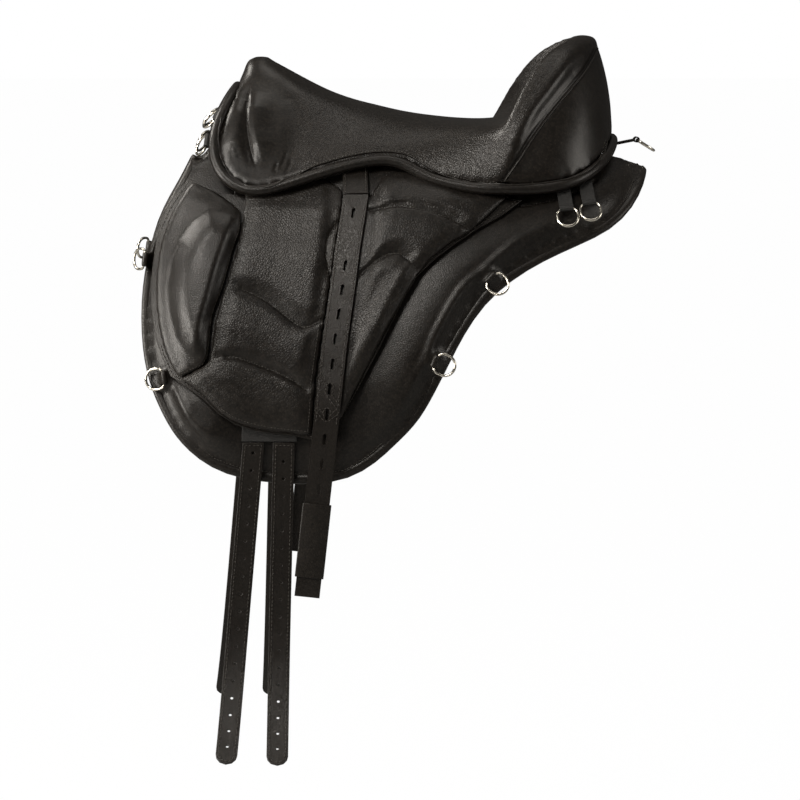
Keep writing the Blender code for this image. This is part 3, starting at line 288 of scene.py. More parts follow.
def shadeSmooth(obj, angle=None):
    for face in obj.data.polygons:
        face.use_smooth = True
    if angle:
        obj.data.set_sharp_from_angle(angle=math.radians(angle))


def finer(obj, levels):
    sub = obj.modifiers.new("finer", "SUBSURF")
    sub.levels = sub.render_levels = levels


def rounded(obj, width):
    bevel = obj.modifiers.new("rounded", "BEVEL")
    bevel.width = width
    bevel.segments = 2
    bevel.limit_method = "ANGLE"
    bevel.angle_limit = math.radians(40)
    bevel.harden_normals = False


def creased(bm, lowest):
    # Keeps rims and all below a height where they are while the rest is smoothed between its points
    layer = bm.edges.layers.float.new("crease_edge")
    for e in bm.edges:
        low = max(v.co.z for v in e.verts) < lowest
        e[layer] = 1.0 if low or not e.is_manifold or e.calc_face_angle() > 0.9 else 0.0


def settled(obj):
    # Makes what the modifiers show the piece's own mesh
    view = bpy.context.evaluated_depsgraph_get()
    mesh = bpy.data.meshes.new_from_object(obj.evaluated_get(view))
    obj.modifiers.clear()
    obj.data = mesh
    shadeSmooth(obj)


def averaged(mesh, rows, steps):
    # Each step takes every point's row of three a share of the way to the mean of its neighbours' rows
    ends = np.empty(len(mesh.edges) * 2, dtype=np.int64)
    mesh.edges.foreach_get("vertices", ends)
    ends = ends.reshape(-1, 2)
    here, there = np.concatenate([ends, ends[:, ::-1]]).T
    count = np.bincount(here, minlength=len(rows))
    for step in steps:
        means = [np.bincount(here, weights=rows[there, k], minlength=len(rows)) / count for k in range(3)]
        rows = rows + step * (np.stack(means, 1) - rows)
    return rows


def spotsOf(mesh):
    spots = np.empty(len(mesh.vertices) * 3)
    mesh.vertices.foreach_get("co", spots)
    return spots.reshape(-1, 3)


def evened(obj, rounds):
    # Rounds the form without shrinking it: each round is a step in and a slightly longer step out
    spots = averaged(obj.data, spotsOf(obj.data), (0.5, -0.52) * rounds)
    obj.data.vertices.foreach_set("co", spots.ravel())
    obj.data.update()


def outerOnly(bm):
    # Drops closed pockets inside a remeshed form and keeps its outer skin
    left, islands = set(bm.verts), []
    while left:
        island, edge = [], [left.pop()]
        while edge:
            v = edge.pop()
            island.append(v)
            for e in v.link_edges:
                other = e.other_vert(v)
                if other in left:
                    left.remove(other)
                    edge.append(other)
        islands.append(island)
    islands.sort(key=len)
    bmesh.ops.delete(bm, geom=[v for island in islands[:-1] for v in island], context="VERTS")


def remeshed(obj, look):
    # Even quads over the whole piece, thickened first so that thin walls hold, then relaxed and taken in
    bm = bmesh.new()
    bm.from_mesh(obj.data)
    swell(bm, look["thicken"])
    bm.to_mesh(obj.data)
    bm.free()
    remesh = obj.modifiers.new("even", "REMESH")
    remesh.mode = "VOXEL"
    remesh.voxel_size = look["voxel"]
    settled(obj)
    evened(obj, look["relax"])
    bm = bmesh.new()
    bm.from_mesh(obj.data)
    outerOnly(bm)
    swell(bm, look["letOut"] - look["thicken"])
    bm.to_mesh(obj.data)
    bm.free()
    shadeSmooth(obj)


def stuffed(obj, look, seams):
    # Air pressure fills the leather, held by its seams and by the side that rests on something; the
    # movement is evened and kept under the cap, so the leather swells softly and doesn't crumple
    start = spotsOf(obj.data)
    tree = nearestOf(seams)
    held = obj.vertex_groups.new(name="held")
    for v in obj.data.vertices:
        at = v.co if not look.get("bothSides") else Vector((v.co.x, -abs(v.co.y), v.co.z))
        away = tree.find(at)[2] if seams else 1.0
        grip = max(look["resting"](v), min(1.0, max(0.0, 1.6 - away / look["hold"])))
        if grip > 0:
            held.add([v.index], grip, "REPLACE")
    hide = obj.modifiers.new("air", "CLOTH").settings
    hide.quality = 4
    hide.mass = 0.3
    hide.vertex_group_mass = "held"
    hide.pin_stiffness = 2.0
    hide.tension_stiffness = hide.compression_stiffness = look["stiff"]
    hide.shear_stiffness = look["stiff"] / 2
    hide.bending_stiffness = look["bend"]
    hide.shrink_min = -look["slack"]
    hide.use_pressure = True
    hide.uniform_pressure_force = look["pressure"]
    hide.effector_weights.gravity = 0
    for moment in range(1, 21):
        bpy.context.scene.frame_set(moment)
    settled(obj)
    bpy.context.scene.frame_set(1)
    moves = averaged(obj.data, spotsOf(obj.data) - start, (0.5,) * look["calm"])
    lengths = np.linalg.norm(moves, axis=1)[:, None]
    print(f"{obj.name} filled, {len(start)} points, moved up to {lengths.max() / mm:.1f} mm")
    ends = start + moves * look["cap"] / (look["cap"] + lengths)
    obj.data.vertices.foreach_set("co", ends.ravel())
    obj.data.update()
    obj.vertex_groups.clear()
    if look["finer"]:
        finer(obj, look["finer"])
        settled(obj)


def spaced(line, step):
    # Even spots on a chain of short straight stretches
    stretches = [(b - a).length for a, b in zip(line, line[1:])]
    total = sum(stretches)
    count = max(1, round(total / step))
    found, walked, i = [line[0].copy()], 0.0, 0
    for n in range(1, count + 1):
        want = total * n / count
        while i < len(stretches) - 1 and walked + stretches[i] < want:
            walked += stretches[i]
            i += 1
        found.append(line[i].lerp(line[i + 1], min(1, (want - walked) / max(stretches[i], 1e-9))))
    return found


def curved(points, step=1.5 * mm):
    # Even spots on a smooth curve through given points
    last = len(points) - 1
    dense = []
    for i in range(last):
        a, b = points[i], points[i + 1]
        leave = (b - points[max(i - 1, 0)]) / 6
        arrive = (points[min(i + 2, last)] - a) / 6
        dense += interpolate_bezier(a, a + leave, b - arrive, b, 24)[:-1]
    return spaced(dense + [points[-1]], step)


def skinOf(*objs):
    # One search tree over finished pieces or nodes, so that seams and threads lie on them
    corners, faces = [], []
    for obj in objs:
        start = len(corners)
        corners += [v.co.copy() for v in obj.data.vertices]
        faces += [[start + i for i in face.vertices] for face in obj.data.polygons]
    return BVHTree.FromPolygons(corners, faces)


def fromLeft(x, z, skin):
    # The spot that a look from the saddle's left side meets first
    return skin.ray_cast(Vector((x, -0.4, z)), Vector((0, 1, 0)))[0]


def laid(line, skin):
    # Each spot with the way out of the leather there
    return [tuple(skin.find_nearest(p)[:2]) for p in line]


def laidAgain(runs, obj):
    # The same seams on a piece whose shape has changed since
    skin = skinOf(obj)
    return [laid([p for p, n in run], skin) for run in runs]


def tuckedUp(bm, height, skin):
    # Draws a pad's top edge up over the flap's head, in under the skirt
    top = max(v.co.z for v in bm.verts)
    for v in [v for v in bm.verts if v.co.z > top - 5 * mm]:
        was = fromLeft(v.co.x, v.co.z, skin)
        for share in (1, 0.85, 0.7, 0.55, 0.4, 0.25, 0.1):
            now = fromLeft(v.co.x, v.co.z + height * share, skin)
            if was and now:
                v.co = now + Vector((0, -min(2.4 * mm, max(0.3 * mm, was.y - v.co.y)), 0))
                break


def flatLine(points):
    # Even spots on a line of (x, z) points in millimetres, seen from the side
    return spaced([Vector((x, 0, z)) * mm for x, z in points], 2 * mm)


def domed(obj, outline, calm, height=0, falls=()):
    # Calms a pad's face inside an outline and raises it as one soft bulge that falls off towards some lines
    ring = flatLine(outline + outline[:1])
    slopes = [(nearestOf([[(p, None) for p in flatLine(line)]]), width) for line, width in falls]
    bm = bmesh.new()
    bm.from_mesh(obj.data)
    bm.normal_update()
    inner = []
    for v in bm.verts:
        x, z = v.co.x, v.co.z
        crossed = [a for a, b in zip(ring, ring[1:])
                   if (a.z > z) != (b.z > z) and a.x + (b.x - a.x) * (z - a.z) / (b.z - a.z) < x]
        if len(crossed) % 2 and v.normal.y < -0.4:
            inner.append(v)
    for n in range(calm):
        means = [sum(e.other_vert(v).co.y for e in v.link_edges) / len(v.link_edges) for v in inner]
        for v, y in zip(inner, means):
            v.co.y = y
    for v in inner:
        share = 1
        for tree, width in slopes:
            away = tree.find(Vector((v.co.x, 0, v.co.z)))[2]
            share *= math.sin(min(1, away / width) * math.pi / 2)
        v.co.y -= height * share
    bm.to_mesh(obj.data)
    bm.free()
    evened(obj, 12)
    shadeSmooth(obj)


def laidAround(points, centre, skin):
    # A seam through points in millimetres, thrown onto the outer skin towards a place inside the form
    run = []
    for p in curved([Vector(point) * mm for point in points]):
        way = (centre - p).normalized()
        spot, normal = skin.ray_cast(p - way * 30 * mm, way)[:2]
        if spot:
            run.append((spot, normal))
    return run


def seamLine(points, skin):
    # A seam through points in millimetres: (x, z) looked at from the left side, or (x, y, z)
    spots = []
    for point in points:
        if len(point) == 3:
            spots.append(Vector(point) * mm)
        elif fromLeft(point[0] * mm, point[1] * mm, skin):
            spots.append(fromLeft(point[0] * mm, point[1] * mm, skin))
    return laid(curved(spots), skin)


def mirrored(run):
    return [(Vector((p.x, -p.y, p.z)), Vector((n.x, -n.y, n.z))) for p, n in run]


def onBothSides(runs):
    return runs + [mirrored(run) for run in runs]


def nearestOf(runs):
    spots = [p for run in runs for p, n in run]
    tree = KDTree(len(spots))
    for i, p in enumerate(spots):
        tree.insert(p, i)
    tree.balance()
    return tree


def pressed(obj, runs, width, depth, cuts=0, fade=False):
    # Presses a seam into the leather, or raises it where depth is less than nothing
    ways = [n for run in runs for p, n in run]
    parts = []
    for run in runs:
        ends = [min(i, len(run) - i) for i in range(len(run))]
        parts += [min(1, 4 * steps / len(run)) if fade else 1 for steps in ends]
    tree = nearestOf(runs)
    bm = bmesh.new()
    bm.from_mesh(obj.data)
    for cut in range(cuts):
        close = {v for v in bm.verts if tree.find(v.co)[2] < 1.3 * width}
        beside = [e for e in bm.edges if e.verts[0] in close and e.verts[1] in close]
        bmesh.ops.subdivide_edges(bm, edges=beside, cuts=1, use_grid_fill=True)
    bm.normal_update()
    moves = []
    for v in bm.verts:
        spot, i, away = tree.find(v.co)
        if away < width and v.normal.dot(ways[i]) > 0.3:
            share = 1 - away / width
            moves.append((v, v.normal * depth * parts[i] * share * share * (3 - 2 * share)))
    for v, move in moves:
        v.co -= move
    bm.to_mesh(obj.data)
    bm.free()
    shadeSmooth(obj)


def rim(node, inset, skin):
    # Outline of a left piece's outer face, moved in from its edge and laid on a skin
    bm = merged(node)
    outer = {f for f in bm.faces if f.normal.y < -0.5}
    edges = {e.index: e for e in bm.edges if sum(f in outer for f in e.link_faces) == 1}
    loops = []
    while edges:
        edge = edges.pop(min(edges))
        chain = list(edge.verts)
        while True:
            onward = [e.index for e in chain[-1].link_edges if e.index in edges]
            if not onward:
                break
            chain.append(edges.pop(min(onward)).other_vert(chain[-1]))
        loops.append([v.co.copy() for v in chain])
    bm.free()
    loop = max(loops, key=lambda spots: sum((b - a).length for a, b in zip(spots, spots[1:])))
    loop = spaced(loop, 2 * mm)[:-1]
    turn = sum(a.x * b.z - b.x * a.z for a, b in zip(loop, loop[1:] + loop[:1]))
    inward = inset if turn > 0 else -inset
    moved = []
    for i, p in enumerate(loop):
        way = loop[(i + 2) % len(loop)] - loop[i - 2]
        moved.append(p + Vector((-way.z, 0, way.x)).normalized() * inward)
    for smoothing in range(2):
        moved = [(moved[i - 1] + 2 * p + moved[(i + 1) % len(moved)]) / 4 for i, p in enumerate(moved)]
    return laid(moved + moved[:1], skin)


def partsWhere(run, test):
    # The stretches of a run that pass a test, such as those in view below another piece
    parts, now = [], []
    for spot in run:
        if test(spot[0]):
            now.append(spot)
            continue
        if len(now) > 4:
            parts.append(now)
        now = []
    return parts + [now] if len(now) > 4 else parts


def asMesh(curve, name):
    holder = bpy.data.objects.new(name, curve)
    bpy.context.scene.collection.objects.link(holder)
    mesh = bpy.data.meshes.new_from_object(holder.evaluated_get(bpy.context.evaluated_depsgraph_get()))
    bpy.data.objects.remove(holder)
    bpy.data.curves.remove(curve)
    bm = bmesh.new()
    bm.from_mesh(mesh)
    bmesh.ops.remove_doubles(bm, verts=bm.verts[:], dist=0.000005)
    bmesh.ops.recalc_face_normals(bm, faces=bm.faces[:])
    obj = piece(name, bm)
    shadeSmooth(obj)
    return obj


def newCurve(name, radius, resolution):
    curve = bpy.data.curves.new(name, "CURVE")
    curve.dimensions = "3D"
    curve.bevel_depth = radius
    curve.bevel_resolution = resolution
    curve.use_fill_caps = True
    return curve


def addSpline(curve, spots, radii=None):
    spline = curve.splines.new("POLY")
    spline.points.add(len(spots) - 1)
    for i, (point, spot) in enumerate(zip(spline.points, spots)):
        point.co = (*spot, 1)
        point.radius = radii[i] if radii else 1


def stitches(name, runs, look):
    # A row of short threads that dip into the leather at both ends
    curve = newCurve(name, look["thick"] / 2, 0)
    fifth = (look["length"] + look["gap"]) / 5
    for run in runs:
        spots = spaced([p for p, n in run], fifth)
        tree = nearestOf([run])
        for i in range(0, len(spots) - 4, 5):
            way = run[tree.find(spots[i + 2])[1]][1]
            rise = (-0.15 * look["thick"], 0.45 * look["thick"], -0.15 * look["thick"])
            addSpline(curve, [spots[i + 2 * j] + way * rise[j] for j in range(3)], (0.6, 1, 0.6))
    return asMesh(curve, name)


def piping(name, runs, radius, sink):
    # A round bead of leather sewn into a seam
    curve = newCurve(name, radius, 2)
    for run in runs:
        addSpline(curve, [p + n * (radius - sink) for p, n in run[::2]])
    return asMesh(curve, name)


def fitted(obj, *places, finish=None, standsFor=True, rides=True):
    # Gives a piece its material and CAD body; a left piece gets its mirror image too
    other = None
    if places[0].endswith("_left"):
        other = obj.copy()
        other.name = obj.name.replace("Left", "Right")
        bm = bmesh.new()
        bm.from_mesh(obj.data)
        bmesh.ops.scale(bm, vec=(1, -1, 1), verts=bm.verts[:])
        bmesh.ops.reverse_faces(bm, faces=bm.faces[:])
        other.data = bpy.data.meshes.new(other.name)
        bm.to_mesh(other.data)
        bm.free()
        bpy.context.scene.collection.objects.link(other)
    for one, side in ((obj, "_left"), (other, "_right")):
        if one is None:
            continue
        names = [n.replace("_left", side) for n in places]
        one.data.materials.clear()
        one.data.materials.append(finish or finishes[slotOf[names[0]]])
        if rides:
            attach(one, bodyOf[names[0]])
        if standsFor:
            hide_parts(*names)
    return [o for o in (obj, other) if o]


def sewn(name, runs, node, look):
    # Stitches that ride with the body of the node they are sewn through
    made = fitted(stitches(name, runs, look), node, finish=thread, standsFor=False)


seamThread = {"length": 3.2 * mm, "gap": 1.4 * mm, "thick": 1.1 * mm}
padThread = {"length": 2.6 * mm, "gap": 1.3 * mm, "thick": 1.0 * mm}


# Seat: cover, foam, tree and cantle sides as one crowned form, with its darts, folds and seams

seatLook = {
    "thicken": 2.4 * mm, "voxel": 4.0 * mm, "relax": 40, "letOut": 0.6 * mm, "finer": 1, "bothSides": True,
    "pressure": 4, "stiff": 20, "bend": 8, "slack": 0.002, "cap": 2.0 * mm, "calm": 40, "hold": 9 * mm,
    "resting": lambda v: 1.0 if v.normal.z < -0.35 else 0.0,
    "cantleSeam": [(237, -8, 177), (230, -29, 165), (215, -66, 144), (196, -91, 123), (180, -108, 106),
                   (166, -118, 89), (149, -133, 68), (132, -143, 42), (115, -148, 18)],
    "cantleCrest": [(204, -61, 167), (186, -92, 144), (167, -111, 120), (149, -126, 98), (134, -140, 74),
                    (124, -146, 55)],
    "cantleHollow": [(218, -56, 158), (199, -87, 137), (179, -108, 114), (160, -123, 91), (143, -138, 67)],
    "dart": [(-178, -38, 128), (-183, -67, 101), (-183, -87, 75), (-177, -107, 44), (-173, -114, 32)],
    "puffs": [[(-172, -50, 118), (-175, -70, 97), (-175, -86, 77), (-170, -101, 55), (-165, -111, 38)],
              [(-187, -58, 111), (-193, -80, 86), (-198, -95, 63), (-194, -108, 42)]],
    "fold": [(-155, -34, 134), (-140, -48, 118), (-129, -61, 102), (-125, -76, 83), (-126, -93, 63),
             (-131, -109, 42), (-137, -120, 26)],
    "wrinkles": [[(-146, -117, 28), (-140, -111, 39), (-136, -103, 51)],
                 [(-140, -122, 22), (-134, -116, 33), (-131, -108, 44)],
                 [(-152, -118, 24), (-148, -112, 36)]],
    "innerPiping": [(-213, -80, 88), (-217, -93, 69), (-215, -101, 49), (-209, -111, 33), (-200, -118, 20),
                    (-183, -131, 10), (-166, -134, 8), (-150, -135, 12), (-129, -128, 21), (-110, -122, 30),
                    (-73, -117, 41), (-36, -115, 48), (-9, -116, 48), (9, -119, 43), (28, -128, 32),
                    (48, -135, 22), (82, -143, 14), (115, -152, 12), (150, -149, 12), (182, -144, 16),
                    (205, -134, 23), (223, -118, 33), (236, -89, 44), (242, -68, 58)],
    "skirtLine": 45 * mm, "heart": (0.17, 0, 0.06),
    "wrinkleFurrow": (4 * mm, 0.6 * mm), "dartValley": (11 * mm, 2.0 * mm), "dartFurrow": (3 * mm, 1.4 * mm),
    "cantleFurrow": (4.5 * mm, 1.8 * mm),
}
swells = {"cantleCrest": (14, -2.0), "cantleHollow": (14, 2.3), "puffs": (26, -3.2), "fold": (20, 1.8)}
seatGrain = {"least": 0.12, "frontFrom": -0.145, "frontFade": 0.03, "rearFade": 0.012, "crestFoot": 0.128,
             "crestLean": 0.714, "lowest": 0.05, "footHeight": 0.055}
beads = {"cantle": {"radius": 1.0 * mm, "sink": 0.2 * mm, "shift": (2, 0, -1.2), "skipped": 5},
         "skirt": {"radius": 1.1 * mm, "sink": 0.3 * mm, "stitchesAbove": (0, 0.4, 2.6)}}
rollSwell = 1.0 * mm

seat = merged("seat_cover", "seat_foam", "tree", "cantle_facing")
creased(seat, seatLook["skirtLine"])
seat = piece("seatLeather", seat)
finer(seat, 2)
settled(seat)
remeshed(seat, seatLook)
skin = skinOf(seat)
heart = Vector(seatLook["heart"])
cantleSeam = laidAround(seatLook["cantleSeam"], heart, skin)
dart = seamLine(seatLook["dart"], skin)
stuffed(seat, seatLook, [cantleSeam, dart])
for shape, (width, depth) in swells.items():
    lines = seatLook[shape] if shape == "puffs" else [seatLook[shape]]
    if shape.startswith("cantle"):
        runs = [laidAround(line, heart, skin) for line in lines]
    else:
        runs = [seamLine(line, skin) for line in lines]
    pressed(seat, onBothSides(runs), width * mm, depth * mm, fade=True)
wrinkles = laidAgain([seamLine(wrinkle, skin) for wrinkle in seatLook["wrinkles"]], seat)
pressed(seat, onBothSides(wrinkles), *seatLook["wrinkleFurrow"], 1, fade=True)
dart = laidAgain([dart], seat)[0]
cantleSeam = laidAround(seatLook["cantleSeam"], heart, skinOf(seat))
pressed(seat, onBothSides([dart]), *seatLook["dartValley"], fade=True)
pressed(seat, onBothSides(laidAgain([dart], seat)), *seatLook["dartFurrow"], 1, fade=True)
pressed(seat, onBothSides([cantleSeam]), *seatLook["cantleFurrow"], 1)
grainHere = seat.data.attributes.new("grainHere", "FLOAT", "POINT")
for v in seat.data.vertices:
    height = max(v.co.z, seatGrain["lowest"]) - seatGrain["footHeight"]
    crestAt = seatGrain["crestFoot"] + seatGrain["crestLean"] * height
    front = min(max((v.co.x - seatGrain["frontFrom"]) / seatGrain["frontFade"], 0), 1)
    rear = min(max((crestAt - v.co.x) / seatGrain["rearFade"], 0), 1)
    grainHere.data[v.index].value = seatGrain["least"] + (1 - seatGrain["least"]) * front * rear
fitted(seat, "seat_cover", "seat_foam", "tree", "cantle_facing", finish=seatHide)

look = beads["cantle"]
shift = Vector(look["shift"])
cantleEdge = laidAround([Vector(point) + shift for point in seatLook["cantleSeam"]], heart, skinOf(seat))
bead = piping("cantlePiping", onBothSides([cantleEdge[look["skipped"]:]]), look["radius"], look["sink"])
fitted(bead, "cantle_facing", finish=smooth, standsFor=False)

roll = merged("skirt_roll")
swell(roll, rollSwell)
roll = piece("skirtRoll", roll)
shadeSmooth(roll)
finer(roll, 2)
fitted(roll, "skirt_roll")
skin = skinOf(seat, nodes["skirt_roll"])
inner = seamLine(seatLook["innerPiping"], skin)
look = beads["skirt"]
bead = piping("skirtPiping", onBothSides([inner]), look["radius"], look["sink"])
fitted(bead, "skirt_roll", finish=smooth, standsFor=False)
above = laid([p + Vector(look["stitchesAbove"]) * mm for p, n in inner], skin)
sewn("skirtStitches", onBothSides([above]), "skirt_roll", padThread)
print("seat made")


# Stuffed panels

panelLook = {
    "thicken": 2.0 * mm, "voxel": 4.2 * mm, "relax": 25, "letOut": -0.2 * mm, "finer": 1,
    "pressure": 3, "stiff": 20, "bend": 8, "slack": 0.002, "cap": 1.6 * mm, "calm": 40, "hold": 8 * mm,
    "resting": lambda v: 1.0 if v.normal.y > -0.1 else 0.0,
    "ridges": [[(190, -150, -28), (164, -158, -38), (133, -167, -51), (94, -179, -82), (64, -189, -108),
                (38, -202, -150), (15, -211, -199), (-8, -217, -239)],
               [(-274, -213), (-264, -229), (-254, -249), (-239, -267), (-222, -280)]],
    "rearSeam": [(112, -122, 2), (120, -127, -2), (136, -137, -13), (155, -136, -10), (175, -134, -5),
                 (205, -125, 6), (225, -109, 17)],
    "ridgeRise": (9 * mm, -2.8 * mm), "seamFurrow": (4 * mm, 1.4 * mm),
    "bindingSwell": 0.7 * mm, "bindingStitches": 1.5 * mm,
}
panel = merged("base_panel_left", "panel_binding_left")
creased(panel, cadBox[0][2])
panel = piece("stuffedPanelLeft", panel)
finer(panel, 2)
settled(panel)
remeshed(panel, panelLook)
skin = skinOf(panel)
ridges = [seamLine(ridge, skin) for ridge in panelLook["ridges"]]
rearSeam = seamLine(panelLook["rearSeam"], skin)
stuffed(panel, panelLook, [rearSeam])
pressed(panel, ridges, *panelLook["ridgeRise"], fade=True)
pressed(panel, [rearSeam], *panelLook["seamFurrow"], 1)
for one in fitted(panel, "base_panel_left"):
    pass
sewn("panelStitchesLeft", laidAgain([rearSeam], panel), "base_panel_left", padThread)

binding = merged("panel_binding_left")
swell(binding, panelLook["bindingSwell"])
binding = piece("panelBindingLeft", binding)
shadeSmooth(binding)
finer(binding, 1)
fitted(binding, "panel_binding_left")
row = rim("base_panel_left", panelLook["bindingStitches"], skinOf(nodes["panel_binding_left"]))
sewn("bindingStitchesLeft", [row], "panel_binding_left", padThread)
print("panels made")


# Pads and knee blocks on the flaps


def bentAtHinge(obj):
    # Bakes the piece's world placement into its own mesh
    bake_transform(obj)


padBase = {
    "thicken": 1.0 * mm, "voxel": 2.6 * mm, "relax": 40, "letOut": 0.6 * mm, "finer": 0, "pressure": 4,
    "stiff": 16, "bend": 4, "slack": 0.004, "cap": 1.4 * mm, "calm": 50, "hold": 6 * mm,
    "resting": lambda v: 1.0 if v.normal.y > -0.15 else 0.0,
}
padLooks = {
    "flap_front_pad_left": {
        **padBase, "name": "quiltedPadLeft", "fill": 0.7,
        "seams": [[(-214, -101), (-190, -107), (-162, -120), (-128, -146), (-114, -149), (-97, -141)],
                  [(-228, -187), (-208, -184), (-191, -186), (-144, -204), (-116, -221)],
                  [(-79, -32), (-89, -47), (-92, -63), (-91, -76), (-87, -94)]],
        "edge": 4.5 * mm,
    },
    "flap_rear_pad_left": {
        **padBase, "name": "rearPadLeft", "fill": 0.75,
        "ridge": [(110, -146, -8), (69, -165, -33), (7, -186, -76), (-17, -201, -109), (-37, -211, -148),
                  (-60, -212, -189), (-76, -213, -222)],
        "seams": [[(-81, -29), (-42, -17), (-3, -12), (36, -19), (74, -38)],
                  [(-87, -97), (-55, -91), (-29, -70), (-7, -66), (13, -84)]],
        "edge": -2.0 * mm,
    },
    "knee_block_left": {
        **padBase, "name": "kneeBlockLeft", "fill": 0.9, "thicken": 0.6 * mm, "relax": 30, "letOut": 0.4 * mm,
        "bend": 6, "slack": 0.002, "cap": 1.8 * mm, "hold": 5 * mm,
        "resting": lambda v: 1.0 if v.normal.y > 0.3 else 0.0,
        "seams": [],
        "bulge": [(-204, -22), (-227, -17), (-246, -30), (-262, -51), (-272, -76), (-277, -107),
                  (-274, -133), (-267, -160), (-256, -179), (-246, -185)],
        "edgeSide": [(-236, -178), (-231, -145), (-223, -118), (-212, -82), (-200, -50), (-197, -34)],
        "border": 7 * mm, "calmed": 400, "height": 11 * mm, "frontFall": 26 * mm, "edgeFall": 12 * mm,
        "edge": 3.0 * mm,
    },
}
padShape = {"tuck": 28 * mm, "skirtLine": -0.012, "ridgeRise": (10 * mm, -1.8 * mm),
            "valley": (7 * mm, 0.9 * mm), "furrow": (3 * mm, 1.2 * mm)}
underPad = skinOf(nodes["flap_left"], nodes["flap_head_left"])
for node, look in padLooks.items():
    isBlock = "bulge" in look
    bm = merged(node)
    if not isBlock:
        tuckedUp(bm, padShape["tuck"], underPad)
    pad = piece(look["name"], bm)
    remeshed(pad, look)
    skin = skinOf(pad)
    seams = [seamLine(seam, skin) for seam in look["seams"]]
    if isBlock:
        border = [(p.x / mm, p.z / mm) for p, n in rim(node, look["border"], skin)[:-1]]
        domed(pad, border, look["calmed"])
        falls = ((look["bulge"], look["frontFall"]), (look["edgeSide"], look["edgeFall"]))
        domed(pad, look["bulge"] + look["edgeSide"], 0, look["height"], falls)
        stuffed(pad, look, [seamLine(look["bulge"], skinOf(pad))])
    else:
        stuffed(pad, look, seams)
        if "ridge" in look:
            pressed(pad, [seamLine(look["ridge"], skin)], *padShape["ridgeRise"], fade=True)
        pressed(pad, seams, *padShape["valley"])
        pressed(pad, laidAgain(seams, pad), *padShape["furrow"], 1)
    pair = fitted(pad, node, finish=smooth if isBlock else pebbled, rides=isBlock)
    for one, side in zip(pair, ("left", "right")):
        if not isBlock:
            bentAtHinge(one)
    under = skinOf(pad) if look["edge"] > 0 else skinOf(nodes["flap_left"])
    runs = laidAgain(seams, pad)
    runs += partsWhere(rim(node, look["edge"], under), lambda p: p.z < padShape["skirtLine"])
    sewn(look["name"].replace("Left", "StitchesLeft"), runs, node, padThread)
print("pads made")


# Leather sheets and straps, with rounded edges and their rows of stitches

sheetEdge = {"width": 0.7 * mm, "sharpFrom": 35}
flapLook = {"slit": 2.5 * mm, "edge": 3.5 * mm}
flap = merged("flap_head_left", "flap_left")
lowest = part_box("flap_head_left")[0][2]
level = [f for f in flap.faces if abs(f.normal.z) > 0.7]
slit = [f for f in level if abs(f.calc_center_median().z - lowest) < flapLook["slit"]]
bmesh.ops.delete(flap, geom=slit, context="FACES")
bmesh.ops.bridge_loops(flap, edges=[e for e in flap.edges if e.is_boundary])
bmesh.ops.recalc_face_normals(flap, faces=flap.faces[:])
flap = piece("flapLeft", flap)
shadeSmooth(flap, sheetEdge["sharpFrom"])
rounded(flap, sheetEdge["width"])
for one, side in zip(fitted(flap, "flap_left", "flap_head_left", rides=False), ("left", "right")):
    bentAtHinge(one)
row = rim("flap_left", flapLook["edge"], skinOf(nodes["flap_left"]))
sewn("flapStitchesLeft", [row], "flap_left", seamThread)

# Each strap's name and how far in from its edge it is sewn, where it is
sheetLooks = {
    "stirrup_leather_left": ("stirrupLeatherLeft", 2.6 * mm),
    "stirrup_leather_head_left": ("stirrupLeatherHeadLeft", 2.6 * mm),
    "leather_sleeve_left": ("leatherSleeveLeft", 0),
    "billet_front_left": ("frontBilletLeft", 3.2 * mm),
    "billet_rear_left": ("rearBilletLeft", 3.2 * mm),
    "billet_hanger_left": ("billetHangerLeft", 0),
    "crupper_strap": ("crupperStrap", 0),
    "stirrup_bar_left": ("stirrupBarLeft", 0),
    "head_plate": ("headPlate", 0),
}
leatherLook = {"topBand": 3 * mm, "rise": 1.9 * mm, "sewnDownTo": -0.262}
for node, (name, edge) in sheetLooks.items():
    bm = merged(node)
    if node == "stirrup_leather_left":
        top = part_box(node)[1][2]
        for v in bm.verts:
            if v.co.z > top - leatherLook["topBand"]:
                v.co.z += leatherLook["rise"]
    strap = piece(name, bm)
    shadeSmooth(strap, sheetEdge["sharpFrom"])
    rounded(strap, sheetEdge["width"])
    fitted(strap, node)
    if edge:
        end = leatherLook["sewnDownTo"] if node == "stirrup_leather_left" else cadBox[0][2]
        runs = partsWhere(rim(node, edge, skinOf(nodes[node])), lambda p: p.z > end)
        sewn(name.replace("Left", "StitchesLeft"), runs, node, seamThread)
print("straps made")


# Rings in their tabs

ringLook = {"swell": 0.25 * mm, "tabEdge": 0.4 * mm}


def ringPiece(name, node):
    bm = merged(node)
    swell(bm, ringLook["swell"])
    ring = piece(name, bm)
    shadeSmooth(ring)
    finer(ring, 2)
    fitted(ring, node)


ringPlaces = ("pommel_upper", "pommel_lower", "front_upper", "front_lower", "rear_upper", "rear_lower",
              "cantle_front", "cantle_rear")
for place in ringPlaces:
    first, second = place.split("_")
    name = first + second.capitalize()
    ringPiece(f"{name}RingLeft", f"ring_{place}_left")
    if first in ("pommel", "cantle"):
        tab = piece(f"{name}TabLeft", merged(f"tab_{place}_left"))
        shadeSmooth(tab, sheetEdge["sharpFrom"])
        rounded(tab, ringLook["tabEdge"])
        fitted(tab, f"tab_{place}_left")
ringPiece("crupperRing", "ring_crupper")
print("rings made")


# Stage: pale floor, white world, soft boxes and the camera at the photo's place

